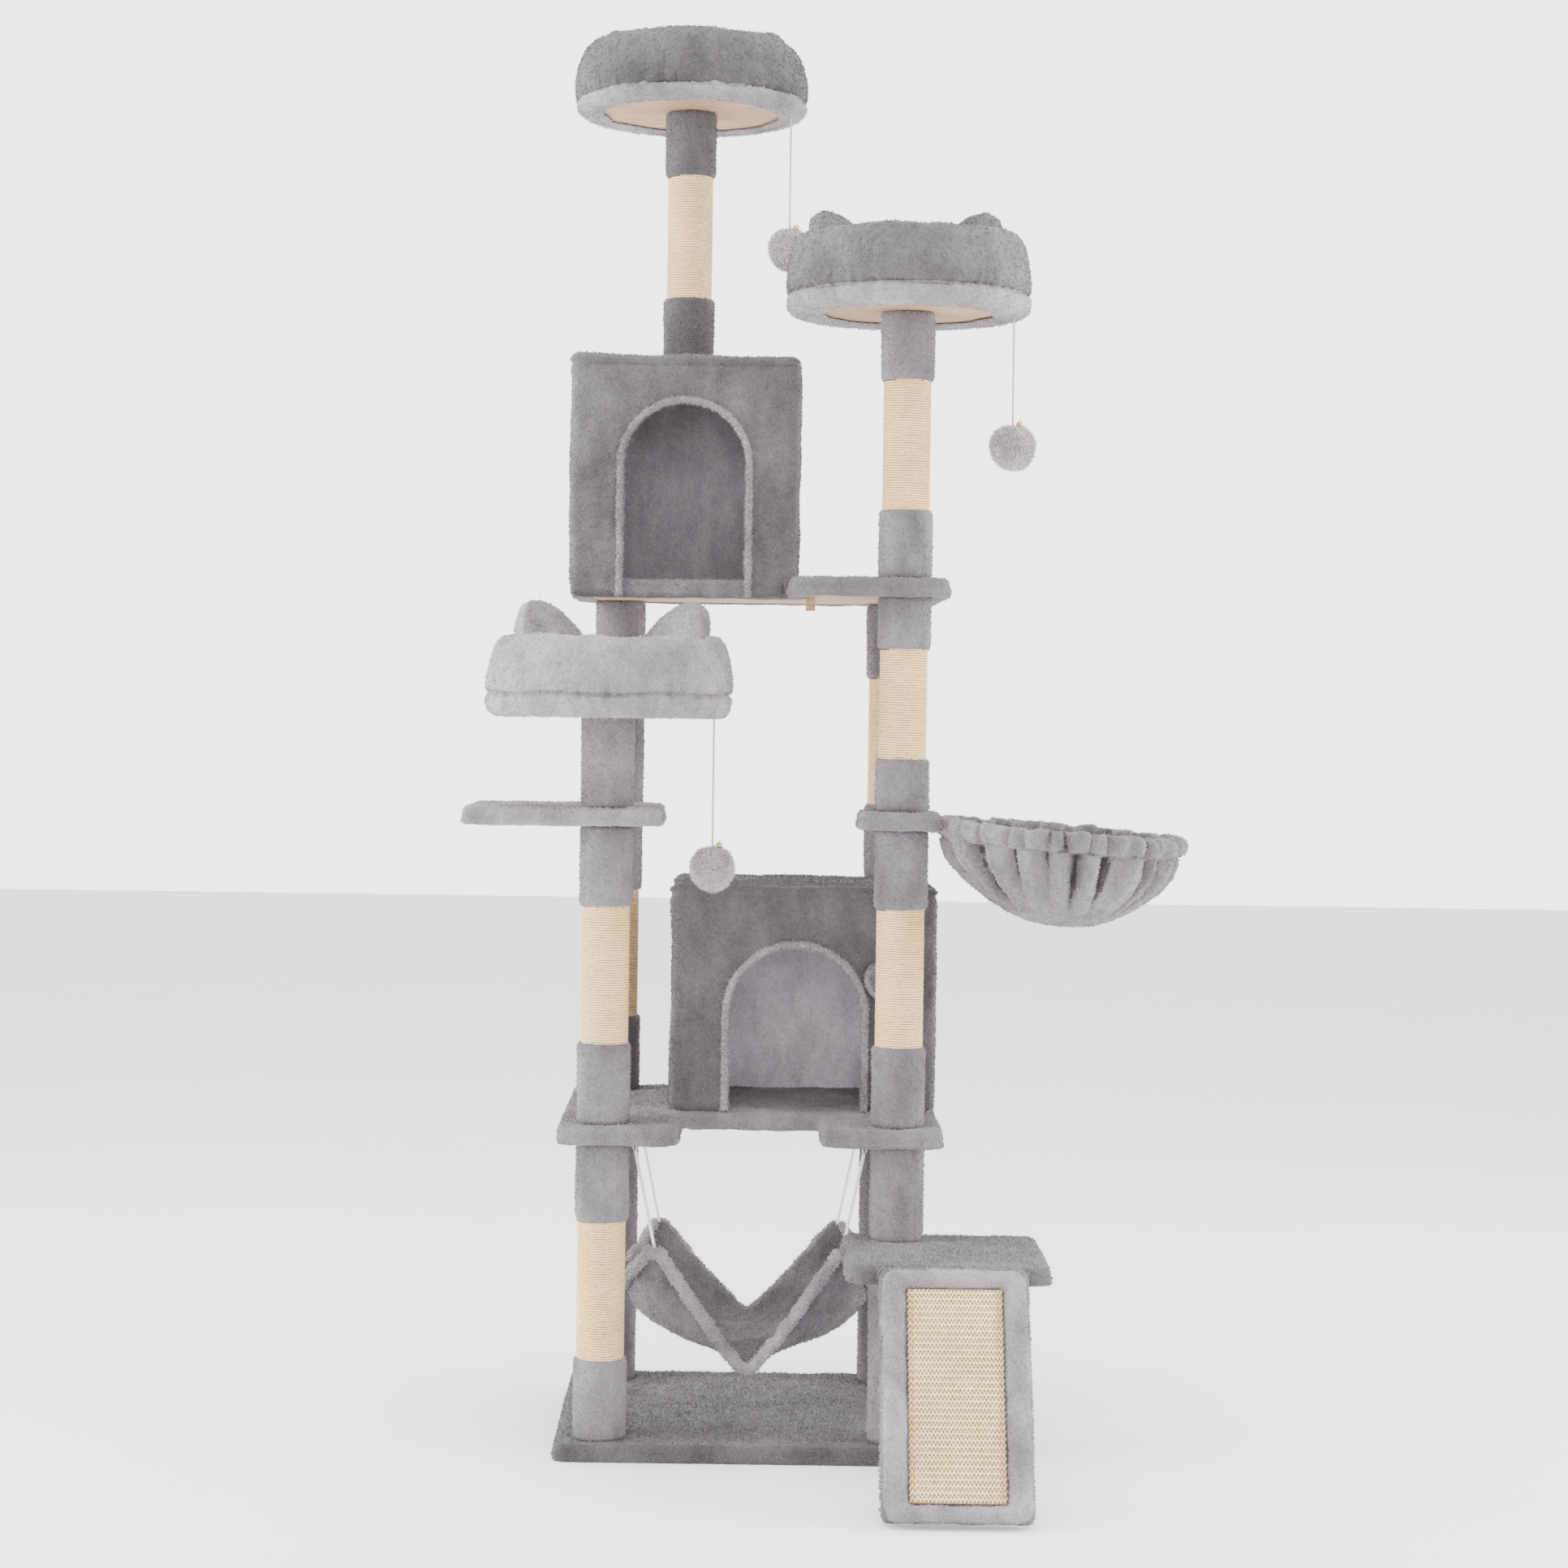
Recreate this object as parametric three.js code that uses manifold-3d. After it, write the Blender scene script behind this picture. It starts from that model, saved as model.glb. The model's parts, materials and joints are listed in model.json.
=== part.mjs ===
// A tall cat tree: base, four columns of plush and sisal posts, two condos, boards, three round
// beds, a hanging basket, a ramp, a hammock and three toys. Millimetres, +Z up, +X to the right
// seen from the front, +Y to the back. The origin is the centre of the base's underside.
import * as THREE from 'three';
import { mergeVertices } from 'three/addons/utils/BufferGeometryUtils.js';
import Module from 'manifold-3d';

const wasm = await Module();
wasm.setup();

// ---- Driving dimensions ----
const GAP = 0.3; // clearance left between touching pieces
const SWING_GAP = 1.2; // clearance at the end of anything that swings
const SKIN = 3; // thickness of the plush on a board

const BASE_W = 560;
const BASE_D = 490;
const BOARD = 25; // any board with its plush
const BOARD_CORNER = 16;

const TUBE_LONG = 436; // from board to board
const TUBE_SHORT = 140;
const TUBE_BED = 391; // under the two high beds
const CONDO_H = 341;
const POST_R = 39; // over the plush
const CORE_R = 32; // bare tube under the sisal
const SISAL_R = 35.5;
const CUFF = 115; // plush left at each end of a long tube
const CUFF_BED = 98;
const CUFF_BASKET = 75;
const POST_INSET_X = 64; // from the base's side to a post's middle
const POST_INSET_Y = 51;
const POST_X = BASE_W / 2 - POST_INSET_X;
const POST_Y = BASE_D / 2 - POST_INSET_Y;

const NOTCH_W = 210; // cut-out at the front of the middle board
const NOTCH_D = 175;

const CONDO_D = 300;
const CONDO_WALL = 12;
const CONDO_CORNER = 22;
const CONDO_INSET = 13; // from the boards' back edge
const LOW_CONDO_INSET = 1.5; // from the middle board's right edge
const HIGH_CONDO_PAST = 5; // past the upper board's left edge
const LOW_CONDO_W = 400;
const HIGH_CONDO_W = 347;
const ARCH_W = 198;
const ARCH_H = 248;
const LOW_ARCH_X = 66;
const HIGH_ARCH_W = 188;
const HIGH_ARCH_H = 268;
const HEART = 78; // width of the heart-shaped window
const HEART_X = 212;
const HEART_UP = 190; // above the condo's floor

const UPPER_HANG = 3; // how far the upper condo's panel hangs below the board
const UPPER_STEP_W = 232; // the upper board's part over the front right post

const SHELF_W = 289;
const SHELF_D = 265;
const SHELF_PAST_POST = 79; // from the post's middle to the shelf's right end
const SHELF_CHAMFER = 28;

const STEP_W = 283;
const STEP_D = 253;
const STEP_PAST_POST_X = 77;
const STEP_PAST_POST_Y = 41;

const RAMP_W = 208;
const RAMP_T = 22;
const RAMP_STEEP = THREE.MathUtils.degToRad(64);
const RAMP_X = 285;
const MAT_W = 130;
const MAT_L = 292;
const MAT_DOWN = 8; // the mat's middle below the panel's middle, along the slope
const MAT_T = 4;

const BED_R = 180;
const BED_H = 112;
const BED_DISC_R = 172;
const BED_DISC_T = 12;
const BED_FLOOR = 10;
const BED_WALL_IN = 127; // inner radius of the padded wall
const EAR_W = 130;
const EAR_H = 62; // above the rim
const EAR_T = 24;
const EAR_TURN = THREE.MathUtils.degToRad(41); // from the back
const EAR_LEAN = THREE.MathUtils.degToRad(16);

const HOOP_R = 170;
const HOOP_WIRE_R = 5;
const HOOP_BELOW = 5; // under the bracket's middle height
const BASKET_OUT = 234; // from the post's middle to the basket's middle
const BASKET_DEEP = 132;
const BASKET_WALL = 6;
const BASKET_SIDES = 24; // facets shared by the hoop and the cloth around it
const BASKET_TILT = THREE.MathUtils.degToRad(4.3);
const BRACKET_CLEAR = 5; // between the bracket's end and the hoop's wire
const BRACKET_W = 132;
const BRACKET_BACK = 63; // from the post's middle to the bracket's left end

const STRING_R = 1.5;
const STRING_OUT = 155; // from a bed's middle to its string
const STRINGS = { high: 176, right: 162, left: 193 };
const POMPOM_R = 32;
const BELL_R = 5.5;
const BELL_TURN = THREE.MathUtils.degToRad(17); // from straight up

const HOOK_X = 175;
const HOOK_FRONT_Y = -133;
const HOOK_BACK_Y = 97;
const SLING_CORNER_X = 139;
const SLING_CORNER_DROP = 171; // from the board down to the sling's corners
const SLING_EDGE = 8; // the sling's cloth past its cords, to the front and back
const SLING_T = 9;
const SLING_LOW_FRONT = 108; // height of the sling's lowest line at its front edge
const SLING_LOW_BACK = 151;
const SLING_SPREAD = 57; // how far the cloth between the hems slumps outwards
const SLING_SLUMP = 70; // and how far it slumps down
const SLING_BELLY = 2.05; // radians of the slump's wave from the low line to a corner
const ELASTIC_R = 2.4;

const BLOCK = [14, 14, 20]; // little stop block under the upper board
const BLOCK_IN = 32; // from the upper board's step, and in front of the condo

// ---- Levels that follow ----
const MID_Z = BOARD + TUBE_LONG;
const MID_TOP = MID_Z + BOARD;
const STEP_Z = MID_Z - TUBE_SHORT - BOARD;
const SHELF_Z = MID_TOP + TUBE_LONG;
const LOW_ROOF = MID_TOP + CONDO_H;
const UPPER_Z = LOW_ROOF + TUBE_LONG;
const UPPER_TOP = UPPER_Z + BOARD;
const HIGH_ROOF = UPPER_TOP + CONDO_H;
const BED_LEFT_Z = SHELF_Z + BOARD + TUBE_SHORT;
const BED_RIGHT_Z = UPPER_TOP + TUBE_BED;
const BED_HIGH_Z = HIGH_ROOF + TUBE_BED;

const CONDO_BACK = BASE_D / 2 - CONDO_INSET;
const CONDO_FRONT = CONDO_BACK - CONDO_D;
const UPPER_STEP_X = BASE_W / 2 - UPPER_STEP_W;
const LOW_CONDO_X = BASE_W / 2 - LOW_CONDO_W / 2 - LOW_CONDO_INSET;
const HIGH_CONDO_X = -BASE_W / 2 + HIGH_CONDO_W / 2 - HIGH_CONDO_PAST;

// ---- Materials ----
const paint = (color, roughness, metalness = 0) =>
  new THREE.MeshStandardMaterial({ color, roughness, metalness });
const plush = paint(0xa3a1a6, 0.95);
const darkPlush = paint(0x7d7a80, 0.95);
const sisal = paint(0xdccfae, 0.9);
const wood = paint(0xcaa87c, 0.7);
const white = paint(0xf2f1ee, 0.8);
const steel = paint(0x8d9094, 0.4, 0.9);
const brass = paint(0xc9a24a, 0.3, 0.9);

const tree = new THREE.Group();

function add(name, geometry, material, place = [0, 0, 0], parent = tree) {
  const mesh = new THREE.Mesh(geometry, material);
  mesh.name = name;
  mesh.position.set(...place);
  parent.add(mesh);
  return mesh;
}

// ---- Solids ----
// A geometry with its shared vertices merged and its empty triangles left out.
function welded(geometry) {
  const bare = geometry.clone();
  bare.deleteAttribute('normal');
  bare.deleteAttribute('uv');
  const merged = mergeVertices(bare, 1e-3);
  const index = merged.index.array;
  const kept = [];
  for (let i = 0; i < index.length; i += 3) {
    const [a, b, c] = [index[i], index[i + 1], index[i + 2]];
    if (a !== b && b !== c && c !== a) kept.push(a, b, c);
  }
  merged.setIndex(kept);
  return merged;
}

function toSolid(geometry) {
  const merged = welded(geometry);
  return new wasm.Manifold(new wasm.Mesh({
    numProp: 3,
    vertProperties: new Float32Array(merged.attributes.position.array),
    triVerts: new Uint32Array(merged.index.array),
  }));
}

function fromSolid(solid) {
  const mesh = solid.getMesh();
  const geometry = new THREE.BufferGeometry();
  geometry.setAttribute('position', new THREE.BufferAttribute(mesh.vertProperties, 3));
  geometry.setIndex(new THREE.BufferAttribute(mesh.triVerts, 1));
  geometry.computeVertexNormals();
  return geometry;
}

const cut = (body, ...tools) =>
  fromSolid(tools.reduce((left, tool) => left.subtract(toSolid(tool)), toSolid(body)));
const join = (body, ...more) =>
  fromSolid(more.reduce((sum, piece) => sum.add(toSolid(piece)), toSolid(body)));

// A plan outline with every corner rounded, given as [x, y, radius] in counterclockwise order.
function rounded(corners) {
  const shape = new THREE.Shape();
  const count = corners.length;
  corners.forEach(([x, y, radius], i) => {
    const here = new THREE.Vector2(x, y);
    const before = new THREE.Vector2(...corners[(i + count - 1) % count]);
    const after = new THREE.Vector2(...corners[(i + 1) % count]);
    const toBefore = before.sub(here).setLength(radius);
    const toAfter = after.sub(here).setLength(radius);
    const start = here.clone().add(toBefore);
    const end = here.clone().add(toAfter);
    if (i === 0) shape.moveTo(start.x, start.y);
    else shape.lineTo(start.x, start.y);
    if (radius > 0) shape.quadraticCurveTo(x, y, end.x, end.y);
  });
  shape.closePath();
  return shape;
}

const rectangle = (x0, y0, x1, y1, radius) =>
  rounded([[x0, y0, radius], [x1, y0, radius], [x1, y1, radius], [x0, y1, radius]]);

function slab(shape, z0, z1, curveSegments = 4) {
  const geometry = new THREE.ExtrudeGeometry(shape, { depth: z1 - z0, bevelEnabled: false, curveSegments });
  return geometry.translate(0, 0, z0);
}

// A shape drawn in X and Z, extruded from y0 back to y1.
function upright(shape, y0, y1, curveSegments = 8) {
  const geometry = new THREE.ExtrudeGeometry(shape, { depth: y1 - y0, bevelEnabled: false, curveSegments });
  return geometry.rotateX(Math.PI / 2).translate(0, y1, 0);
}

// A profile of [radius, height] pairs turned about Z, drawn upwards on its outside.
function turned(profile, segments = 24) {
  const points = profile.map(([radius, height]) => new THREE.Vector2(radius, height));
  return welded(new THREE.LatheGeometry(points, segments).rotateX(Math.PI / 2));
}

const closed = (profile) => [...profile, profile[0]];

// A straight cord of eight sides with a ring every three diameters.
function cord(from, to, radius) {
  const line = new THREE.LineCurve3(new THREE.Vector3(...from), new THREE.Vector3(...to));
  const section = new THREE.Shape();
  for (let i = 0; i < 8; i += 1) {
    const turn = (i / 8) * 2 * Math.PI;
    const [x, y] = [radius * Math.cos(turn), radius * Math.sin(turn)];
    if (i === 0) section.moveTo(x, y);
    else section.lineTo(x, y);
  }
  section.closePath();
  const steps = Math.ceil(line.getLength() / (6 * radius));
  return new THREE.ExtrudeGeometry(section, { steps, extrudePath: line, bevelEnabled: false });
}

// ---- Boards ----
// Each outline takes an inset, so that the wooden core follows its cover.
const baseOutline = (inset) => rectangle(
  -BASE_W / 2 + inset, -BASE_D / 2 + inset, BASE_W / 2 - inset, BASE_D / 2 - inset, BOARD_CORNER);

function midOutline(inset) {
  const [x, y] = [BASE_W / 2 - inset, BASE_D / 2 - inset];
  const notchX = NOTCH_W / 2 + inset;
  const notchY = -BASE_D / 2 + NOTCH_D + inset;
  const r = BOARD_CORNER;
  return rounded([
    [-x, -y, r], [-notchX, -y, r], [-notchX, notchY, r / 2], [notchX, notchY, r / 2],
    [notchX, -y, r], [x, -y, r], [x, y, r], [-x, y, r],
  ]);
}

function upperOutline(inset) {
  const [x, y] = [BASE_W / 2 - inset, BASE_D / 2 - inset];
  const stepX = UPPER_STEP_X + inset;
  const frontY = CONDO_FRONT + CONDO_WALL + GAP + inset; // behind the condo's hanging panel
  const r = BOARD_CORNER;
  return rounded([
    [-x, frontY, r], [stepX, frontY, r / 2], [stepX, -y, r], [x, -y, r], [x, y, r], [-x, y, r],
  ]);
}

function coveredBoard(name, outline, z) {
  const core = slab(outline(SKIN + GAP), z, z + BOARD - SKIN - GAP);
  const pocket = slab(outline(SKIN), z - 1, z + BOARD - SKIN);
  add(`${name}_board`, core, wood);
  add(`${name}_cover`, cut(slab(outline(0), z, z + BOARD), pocket), plush);
}

coveredBoard('base', baseOutline, 0);
coveredBoard('mid', midOutline, MID_Z);
coveredBoard('upper', upperOutline, UPPER_Z);

const shelfRight = -POST_X + SHELF_PAST_POST;
const shelfFront = -BASE_D / 2;
add('shelf_board', slab(rounded([
  [shelfRight - SHELF_W, shelfFront, BOARD_CORNER],
  [shelfRight - SHELF_CHAMFER, shelfFront, BOARD_CORNER / 2],
  [shelfRight, shelfFront + SHELF_CHAMFER, BOARD_CORNER / 2],
  [shelfRight, shelfFront + SHELF_D, BOARD_CORNER],
  [shelfRight - SHELF_W, shelfFront + SHELF_D, BOARD_CORNER],
]), SHELF_Z + GAP, SHELF_Z + BOARD - GAP), plush);

const stepLeft = POST_X - STEP_PAST_POST_X;
const stepBack = -POST_Y + STEP_PAST_POST_Y;
const stepFront = stepBack - STEP_D;
add('step_board', slab(
  rectangle(stepLeft, stepFront, stepLeft + STEP_W, stepBack, BOARD_CORNER),
  STEP_Z + GAP, STEP_Z + BOARD - GAP), plush);

add('stop_block', new THREE.BoxGeometry(...BLOCK), wood,
  [UPPER_STEP_X + BLOCK_IN, CONDO_FRONT - BLOCK_IN, UPPER_Z - BLOCK[2] / 2 - GAP]);

// ---- Posts ----
// A tube stands between two levels. With a cuff length it is bare between its plush cuffs,
// and a sisal sleeve fills the bare stretch.
function post(name, x, y, foot, head, cuff = 0) {
  const [low, high] = [foot + GAP, head - GAP];
  if (!cuff) {
    add(name, turned([[0, low], [POST_R, low], [POST_R, high], [0, high]]), plush, [x, y, 0]);
    return;
  }
  add(name, turned([
    [0, low], [POST_R, low], [POST_R, low + cuff], [CORE_R, low + cuff],
    [CORE_R, high - cuff], [POST_R, high - cuff], [POST_R, high], [0, high],
  ]), plush, [x, y, 0]);
  const [from, to] = [low + cuff + GAP, high - cuff - GAP];
  const inner = CORE_R + GAP;
  add(`${name}_sisal`, turned(closed([[inner, from], [SISAL_R, from], [SISAL_R, to], [inner, to]])),
    sisal, [x, y, 0]);
}

post('left_front_post_1', -POST_X, -POST_Y, BOARD, MID_Z, CUFF);
post('left_front_post_2', -POST_X, -POST_Y, MID_TOP, SHELF_Z, CUFF);
post('left_front_post_3', -POST_X, -POST_Y, SHELF_Z + BOARD, BED_LEFT_Z);
post('right_front_post_1', POST_X, -POST_Y, BOARD, STEP_Z);
post('right_front_post_2', POST_X, -POST_Y, STEP_Z + BOARD, MID_Z);
post('right_front_post_3', POST_X, -POST_Y, MID_TOP, SHELF_Z, CUFF);
post('right_front_post_4', POST_X, -POST_Y, SHELF_Z + BOARD, UPPER_Z, CUFF_BASKET);
post('right_front_post_5', POST_X, -POST_Y, UPPER_TOP, BED_RIGHT_Z, CUFF_BED);
post('left_rear_post_1', -POST_X, POST_Y, BOARD, MID_Z);
post('left_rear_post_2', -POST_X, POST_Y, MID_TOP, SHELF_Z, CUFF);
post('left_rear_post_3', -POST_X, POST_Y, SHELF_Z, UPPER_Z);
post('right_rear_post_1', POST_X, POST_Y, BOARD, MID_Z);
post('right_rear_post_2', POST_X, POST_Y, LOW_ROOF, UPPER_Z, CUFF);
const highBedY = (CONDO_FRONT + CONDO_BACK) / 2;
post('high_post', HIGH_CONDO_X, highBedY, HIGH_ROOF, BED_HIGH_Z, CUFF_BED);

// ---- Condos ----
function archShape(x, floor, width, height, below = 1) {
  const half = width / 2;
  const shape = new THREE.Shape();
  shape.moveTo(x - half, floor - below);
  shape.lineTo(x + half, floor - below);
  shape.lineTo(x + half, floor + height - half);
  shape.absarc(x, floor + height - half, half, 0, Math.PI, false);
  shape.closePath();
  return shape;
}

function heartShape(x, z, width) {
  const s = width / 2;
  const shape = new THREE.Shape();
  shape.moveTo(x, z - s);
  shape.bezierCurveTo(x + 0.35 * s, z - 0.55 * s, x + s, z - 0.2 * s, x + s, z + 0.35 * s);
  shape.bezierCurveTo(x + s, z + 1.05 * s, x + 0.2 * s, z + 1.05 * s, x, z + 0.5 * s);
  shape.bezierCurveTo(x - 0.2 * s, z + 1.05 * s, x - s, z + 1.05 * s, x - s, z + 0.35 * s);
  shape.bezierCurveTo(x - s, z - 0.2 * s, x - 0.35 * s, z - 0.55 * s, x, z - s);
  return shape;
}

// The body is a box open at the front and the bottom. The front panel closes its whole front.
function condo(name, x, width, floor, foot, holes) {
  const [x0, x1] = [x - width / 2, x + width / 2];
  const [low, high] = [floor + GAP, floor + CONDO_H];
  const panelBack = CONDO_FRONT + CONDO_WALL;
  const mouth = panelBack + GAP;
  const corner = CONDO_CORNER;
  const outer = slab(rounded([
    [x0, mouth, 0], [x1, mouth, 0], [x1, CONDO_BACK, corner], [x0, CONDO_BACK, corner],
  ]), low, high);
  const room = slab(rectangle(
    x0 + CONDO_WALL, mouth - corner, x1 - CONDO_WALL, CONDO_BACK - CONDO_WALL, corner - CONDO_WALL),
    low - 1, high - CONDO_WALL);
  add(`${name}_condo_body`, cut(outer, room), plush);
  const panel = slab(rounded([
    [x0, CONDO_FRONT, CONDO_WALL - 1], [x1, CONDO_FRONT, CONDO_WALL - 1],
    [x1, panelBack, 0], [x0, panelBack, 0],
  ]), foot + GAP, high);
  const cutters = holes.map((shape) => upright(shape, CONDO_FRONT - 5, panelBack + 5));
  add(`${name}_condo_front`, cut(panel, ...cutters), plush);
}

condo('lower', LOW_CONDO_X, LOW_CONDO_W, MID_TOP, MID_TOP, [
  archShape(LOW_ARCH_X, MID_TOP, ARCH_W, ARCH_H),
  heartShape(HEART_X, MID_TOP + HEART_UP, HEART),
]);
condo('upper', HIGH_CONDO_X, HIGH_CONDO_W, UPPER_TOP, UPPER_Z - UPPER_HANG, [
  archShape(HIGH_CONDO_X, UPPER_TOP, HIGH_ARCH_W, HIGH_ARCH_H, BOARD + UPPER_HANG + 1),
  // clears the upper board's step
  rectangle(UPPER_STEP_X - BOARD_CORNER / 2 - GAP, UPPER_Z - BOARD, BASE_W / 2, UPPER_TOP + GAP, 0),
]);

// ---- Beds ----
function earSolid() {
  const root = 34; // how far the ear reaches down into the wall
  const shape = new THREE.Shape();
  shape.moveTo(-EAR_W / 2, -root);
  shape.lineTo(EAR_W / 2, -root);
  shape.quadraticCurveTo(EAR_W / 2.6, EAR_H * 0.45, 10, EAR_H - 6);
  shape.quadraticCurveTo(0, EAR_H + 4, -10, EAR_H - 6);
  shape.quadraticCurveTo(-EAR_W / 2.6, EAR_H * 0.45, -EAR_W / 2, -root);
  return upright(shape, -EAR_T / 2, EAR_T / 2, 4);
}

function bed(name, x, y, z) {
  const discTop = BED_DISC_T + GAP;
  const wallMiddle = (BED_WALL_IN + BED_R) / 2;
  add(`${name}_bed_disc`, turned([[0, 0], [BED_DISC_R, 0], [BED_DISC_R, BED_DISC_T], [0, BED_DISC_T]]),
    wood, [x, y, z]);
  const floorTop = discTop + BED_FLOOR;
  const wall = turned([
    [0, discTop], [BED_DISC_R + GAP, discTop], [BED_DISC_R + GAP, 0], [BED_R - 2, 0], [BED_R, 32],
    [BED_R, 62], [BED_R - 6, 90], [BED_R - 20, BED_H - 4], [wallMiddle - 6, BED_H],
    [BED_WALL_IN + 8, BED_H - 8], [BED_WALL_IN, BED_H - 34], [BED_WALL_IN, floorTop], [0, floorTop],
  ]);
  const ears = [-1, 1].map((hand) => earSolid()
    .rotateX(-EAR_LEAN)
    .translate(0, wallMiddle + 2, BED_H - 6)
    .rotateZ(hand * EAR_TURN));
  add(`${name}_bed_wall`, join(wall, ...ears), plush, [x, y, z]);
}

bed('high', HIGH_CONDO_X, highBedY, BED_HIGH_Z);
bed('right', POST_X, -POST_Y, BED_RIGHT_Z);
bed('left', -POST_X, -POST_Y, BED_LEFT_Z);

// ---- Basket ----
// The bracket is clamped between two posts, and the hoop's straight tang goes into its slot.
const basketX = POST_X + BASKET_OUT;
const bracketZ = SHELF_Z + BOARD / 2;
const hoopZ = bracketZ - HOOP_BELOW;
const hoopLeft = basketX - HOOP_R;
const bracketRight = hoopLeft - HOOP_WIRE_R - BRACKET_CLEAR;
const tangDepth = 50;

const bracketBody = slab(
  rectangle(POST_X - BRACKET_BACK, -POST_Y - BRACKET_W / 2, bracketRight, -POST_Y + BRACKET_W / 2, 24),
  SHELF_Z + GAP, SHELF_Z + BOARD - GAP);
const slotHalf = HOOP_WIRE_R + GAP;
const slot = new THREE.BoxGeometry(tangDepth + GAP + 5, 2 * slotHalf, 2 * slotHalf)
  .translate(bracketRight - (tangDepth + GAP - 5) / 2, -POST_Y, hoopZ);
add('basket_bracket', cut(bracketBody, slot), plush);

const basket = new THREE.Group();
basket.position.set(hoopLeft, -POST_Y, hoopZ);
basket.rotation.y = BASKET_TILT;
tree.add(basket);

const hoopRing = new THREE.TorusGeometry(HOOP_R, HOOP_WIRE_R, 8, BASKET_SIDES).translate(HOOP_R, 0, 0);
const tangLength = hoopLeft - bracketRight + tangDepth;
const tang = new THREE.CylinderGeometry(HOOP_WIRE_R, HOOP_WIRE_R, tangLength + 4, 8)
  .rotateZ(Math.PI / 2)
  .translate(-tangLength / 2 + 2, 0, 0)
  .rotateY(-BASKET_TILT);
add('basket_hoop', join(hoopRing, tang), steel, [0, 0, 0], basket);

// The cloth hangs plumb under the tilted hoop, so below its collar it leans back by the tilt.
function hangPlumb(geometry) {
  const place = geometry.attributes.position;
  for (let i = 0; i < place.count; i += 1) {
    const below = Math.max(0, collarFoot - 4 - place.getZ(i));
    place.setX(i, place.getX(i) + below * Math.tan(BASKET_TILT));
  }
}

const collarIn = HOOP_R - HOOP_WIRE_R - GAP;
const collarOut = HOOP_R + HOOP_WIRE_R + GAP;
const collarTop = HOOP_WIRE_R + GAP;
const collarFoot = -14;
const bowlFoot = -BASKET_DEEP;
const bowl = turned([
  [0, bowlFoot], [HOOP_R * 0.3, bowlFoot + 5], [HOOP_R * 0.47, bowlFoot + 16],
  [HOOP_R * 0.63, bowlFoot + 33], [HOOP_R * 0.8, bowlFoot + 58], [HOOP_R * 0.92, bowlFoot + 85],
  [collarIn, collarFoot], [collarIn, collarTop], [collarOut, collarTop], [collarOut, collarFoot],
  [collarOut + 3, collarFoot], [collarOut + 3, collarTop + 3], [collarIn - BASKET_WALL, collarTop + 3],
  [collarIn - BASKET_WALL, collarFoot - 4], [HOOP_R * 0.92 - BASKET_WALL, bowlFoot + 89],
  [HOOP_R * 0.8 - BASKET_WALL, bowlFoot + 64], [HOOP_R * 0.63 - 5, bowlFoot + 39],
  [HOOP_R * 0.47 - 3, bowlFoot + 22], [HOOP_R * 0.3, bowlFoot + 11], [0, bowlFoot + BASKET_WALL],
], BASKET_SIDES);
hangPlumb(bowl);
const tangWay = new THREE.BoxGeometry(30, 2 * HOOP_WIRE_R + 2, 24).translate(-9.2, 0, -7);
add('basket_bowl', cut(bowl, tangWay.translate(-HOOP_R, 0, 0)), plush, [HOOP_R, 0, 0], basket);

// ---- Ramp ----
// The panel leans on the step's front edge and stands on the floor. Its group's X is across,
// its Y is up the slope and its Z is square to the panel, out to the front.
const rampTop = STEP_Z + BOARD - 8;
const rampL = rampTop / Math.sin(RAMP_STEEP);
const ramp = new THREE.Group();
ramp.position.set(RAMP_X, stepFront - 1 - rampTop / Math.tan(RAMP_STEEP), 0);
ramp.rotation.x = RAMP_STEEP;
tree.add(ramp);
const toeRise = RAMP_T / Math.tan(RAMP_STEEP); // the toe is cut level with the floor
const rampSide = new THREE.Shape();
rampSide.moveTo(0, 0);
rampSide.lineTo(rampL, 0);
rampSide.lineTo(rampL, RAMP_T);
rampSide.lineTo(toeRise, RAMP_T);
rampSide.closePath();
const rampPanel = new THREE.ExtrudeGeometry(rampSide, { depth: RAMP_W, bevelEnabled: false })
  .translate(0, 0, -RAMP_W / 2)
  .rotateY(Math.PI / 2)
  .rotateX(Math.PI / 2);
add('ramp_panel', rampPanel, plush, [0, 0, 0], ramp);
add('ramp_mat', new THREE.BoxGeometry(MAT_W, MAT_L, MAT_T), sisal,
  [0, (rampL + toeRise) / 2 - MAT_DOWN, RAMP_T + GAP + MAT_T / 2], ramp);

// ---- Hammock ----
const slingCornerZ = MID_Z - SLING_CORNER_DROP;
const slingFront = HOOK_FRONT_Y - SLING_EDGE;
const slingBack = HOOK_BACK_Y + SLING_EDGE;

// A hem's line from its low centre out to a corner, as [share of the arm, x, height].
function hemLine(side) {
  const points = [];
  const steps = 7;
  const round = 0.02; // how soft the turn at the bottom is
  const reach = Math.sqrt(1 + round) - Math.sqrt(round);
  for (let i = 0; i <= steps; i += 1) {
    const t = i / steps;
    const rise = (Math.sqrt(t * t + round) - Math.sqrt(round)) / reach;
    points.push([t, side * (SLING_CORNER_X - 6) * t, rise]);
  }
  points.push([1, side * (SLING_CORNER_X + 7), 1]);
  return points;
}

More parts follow.
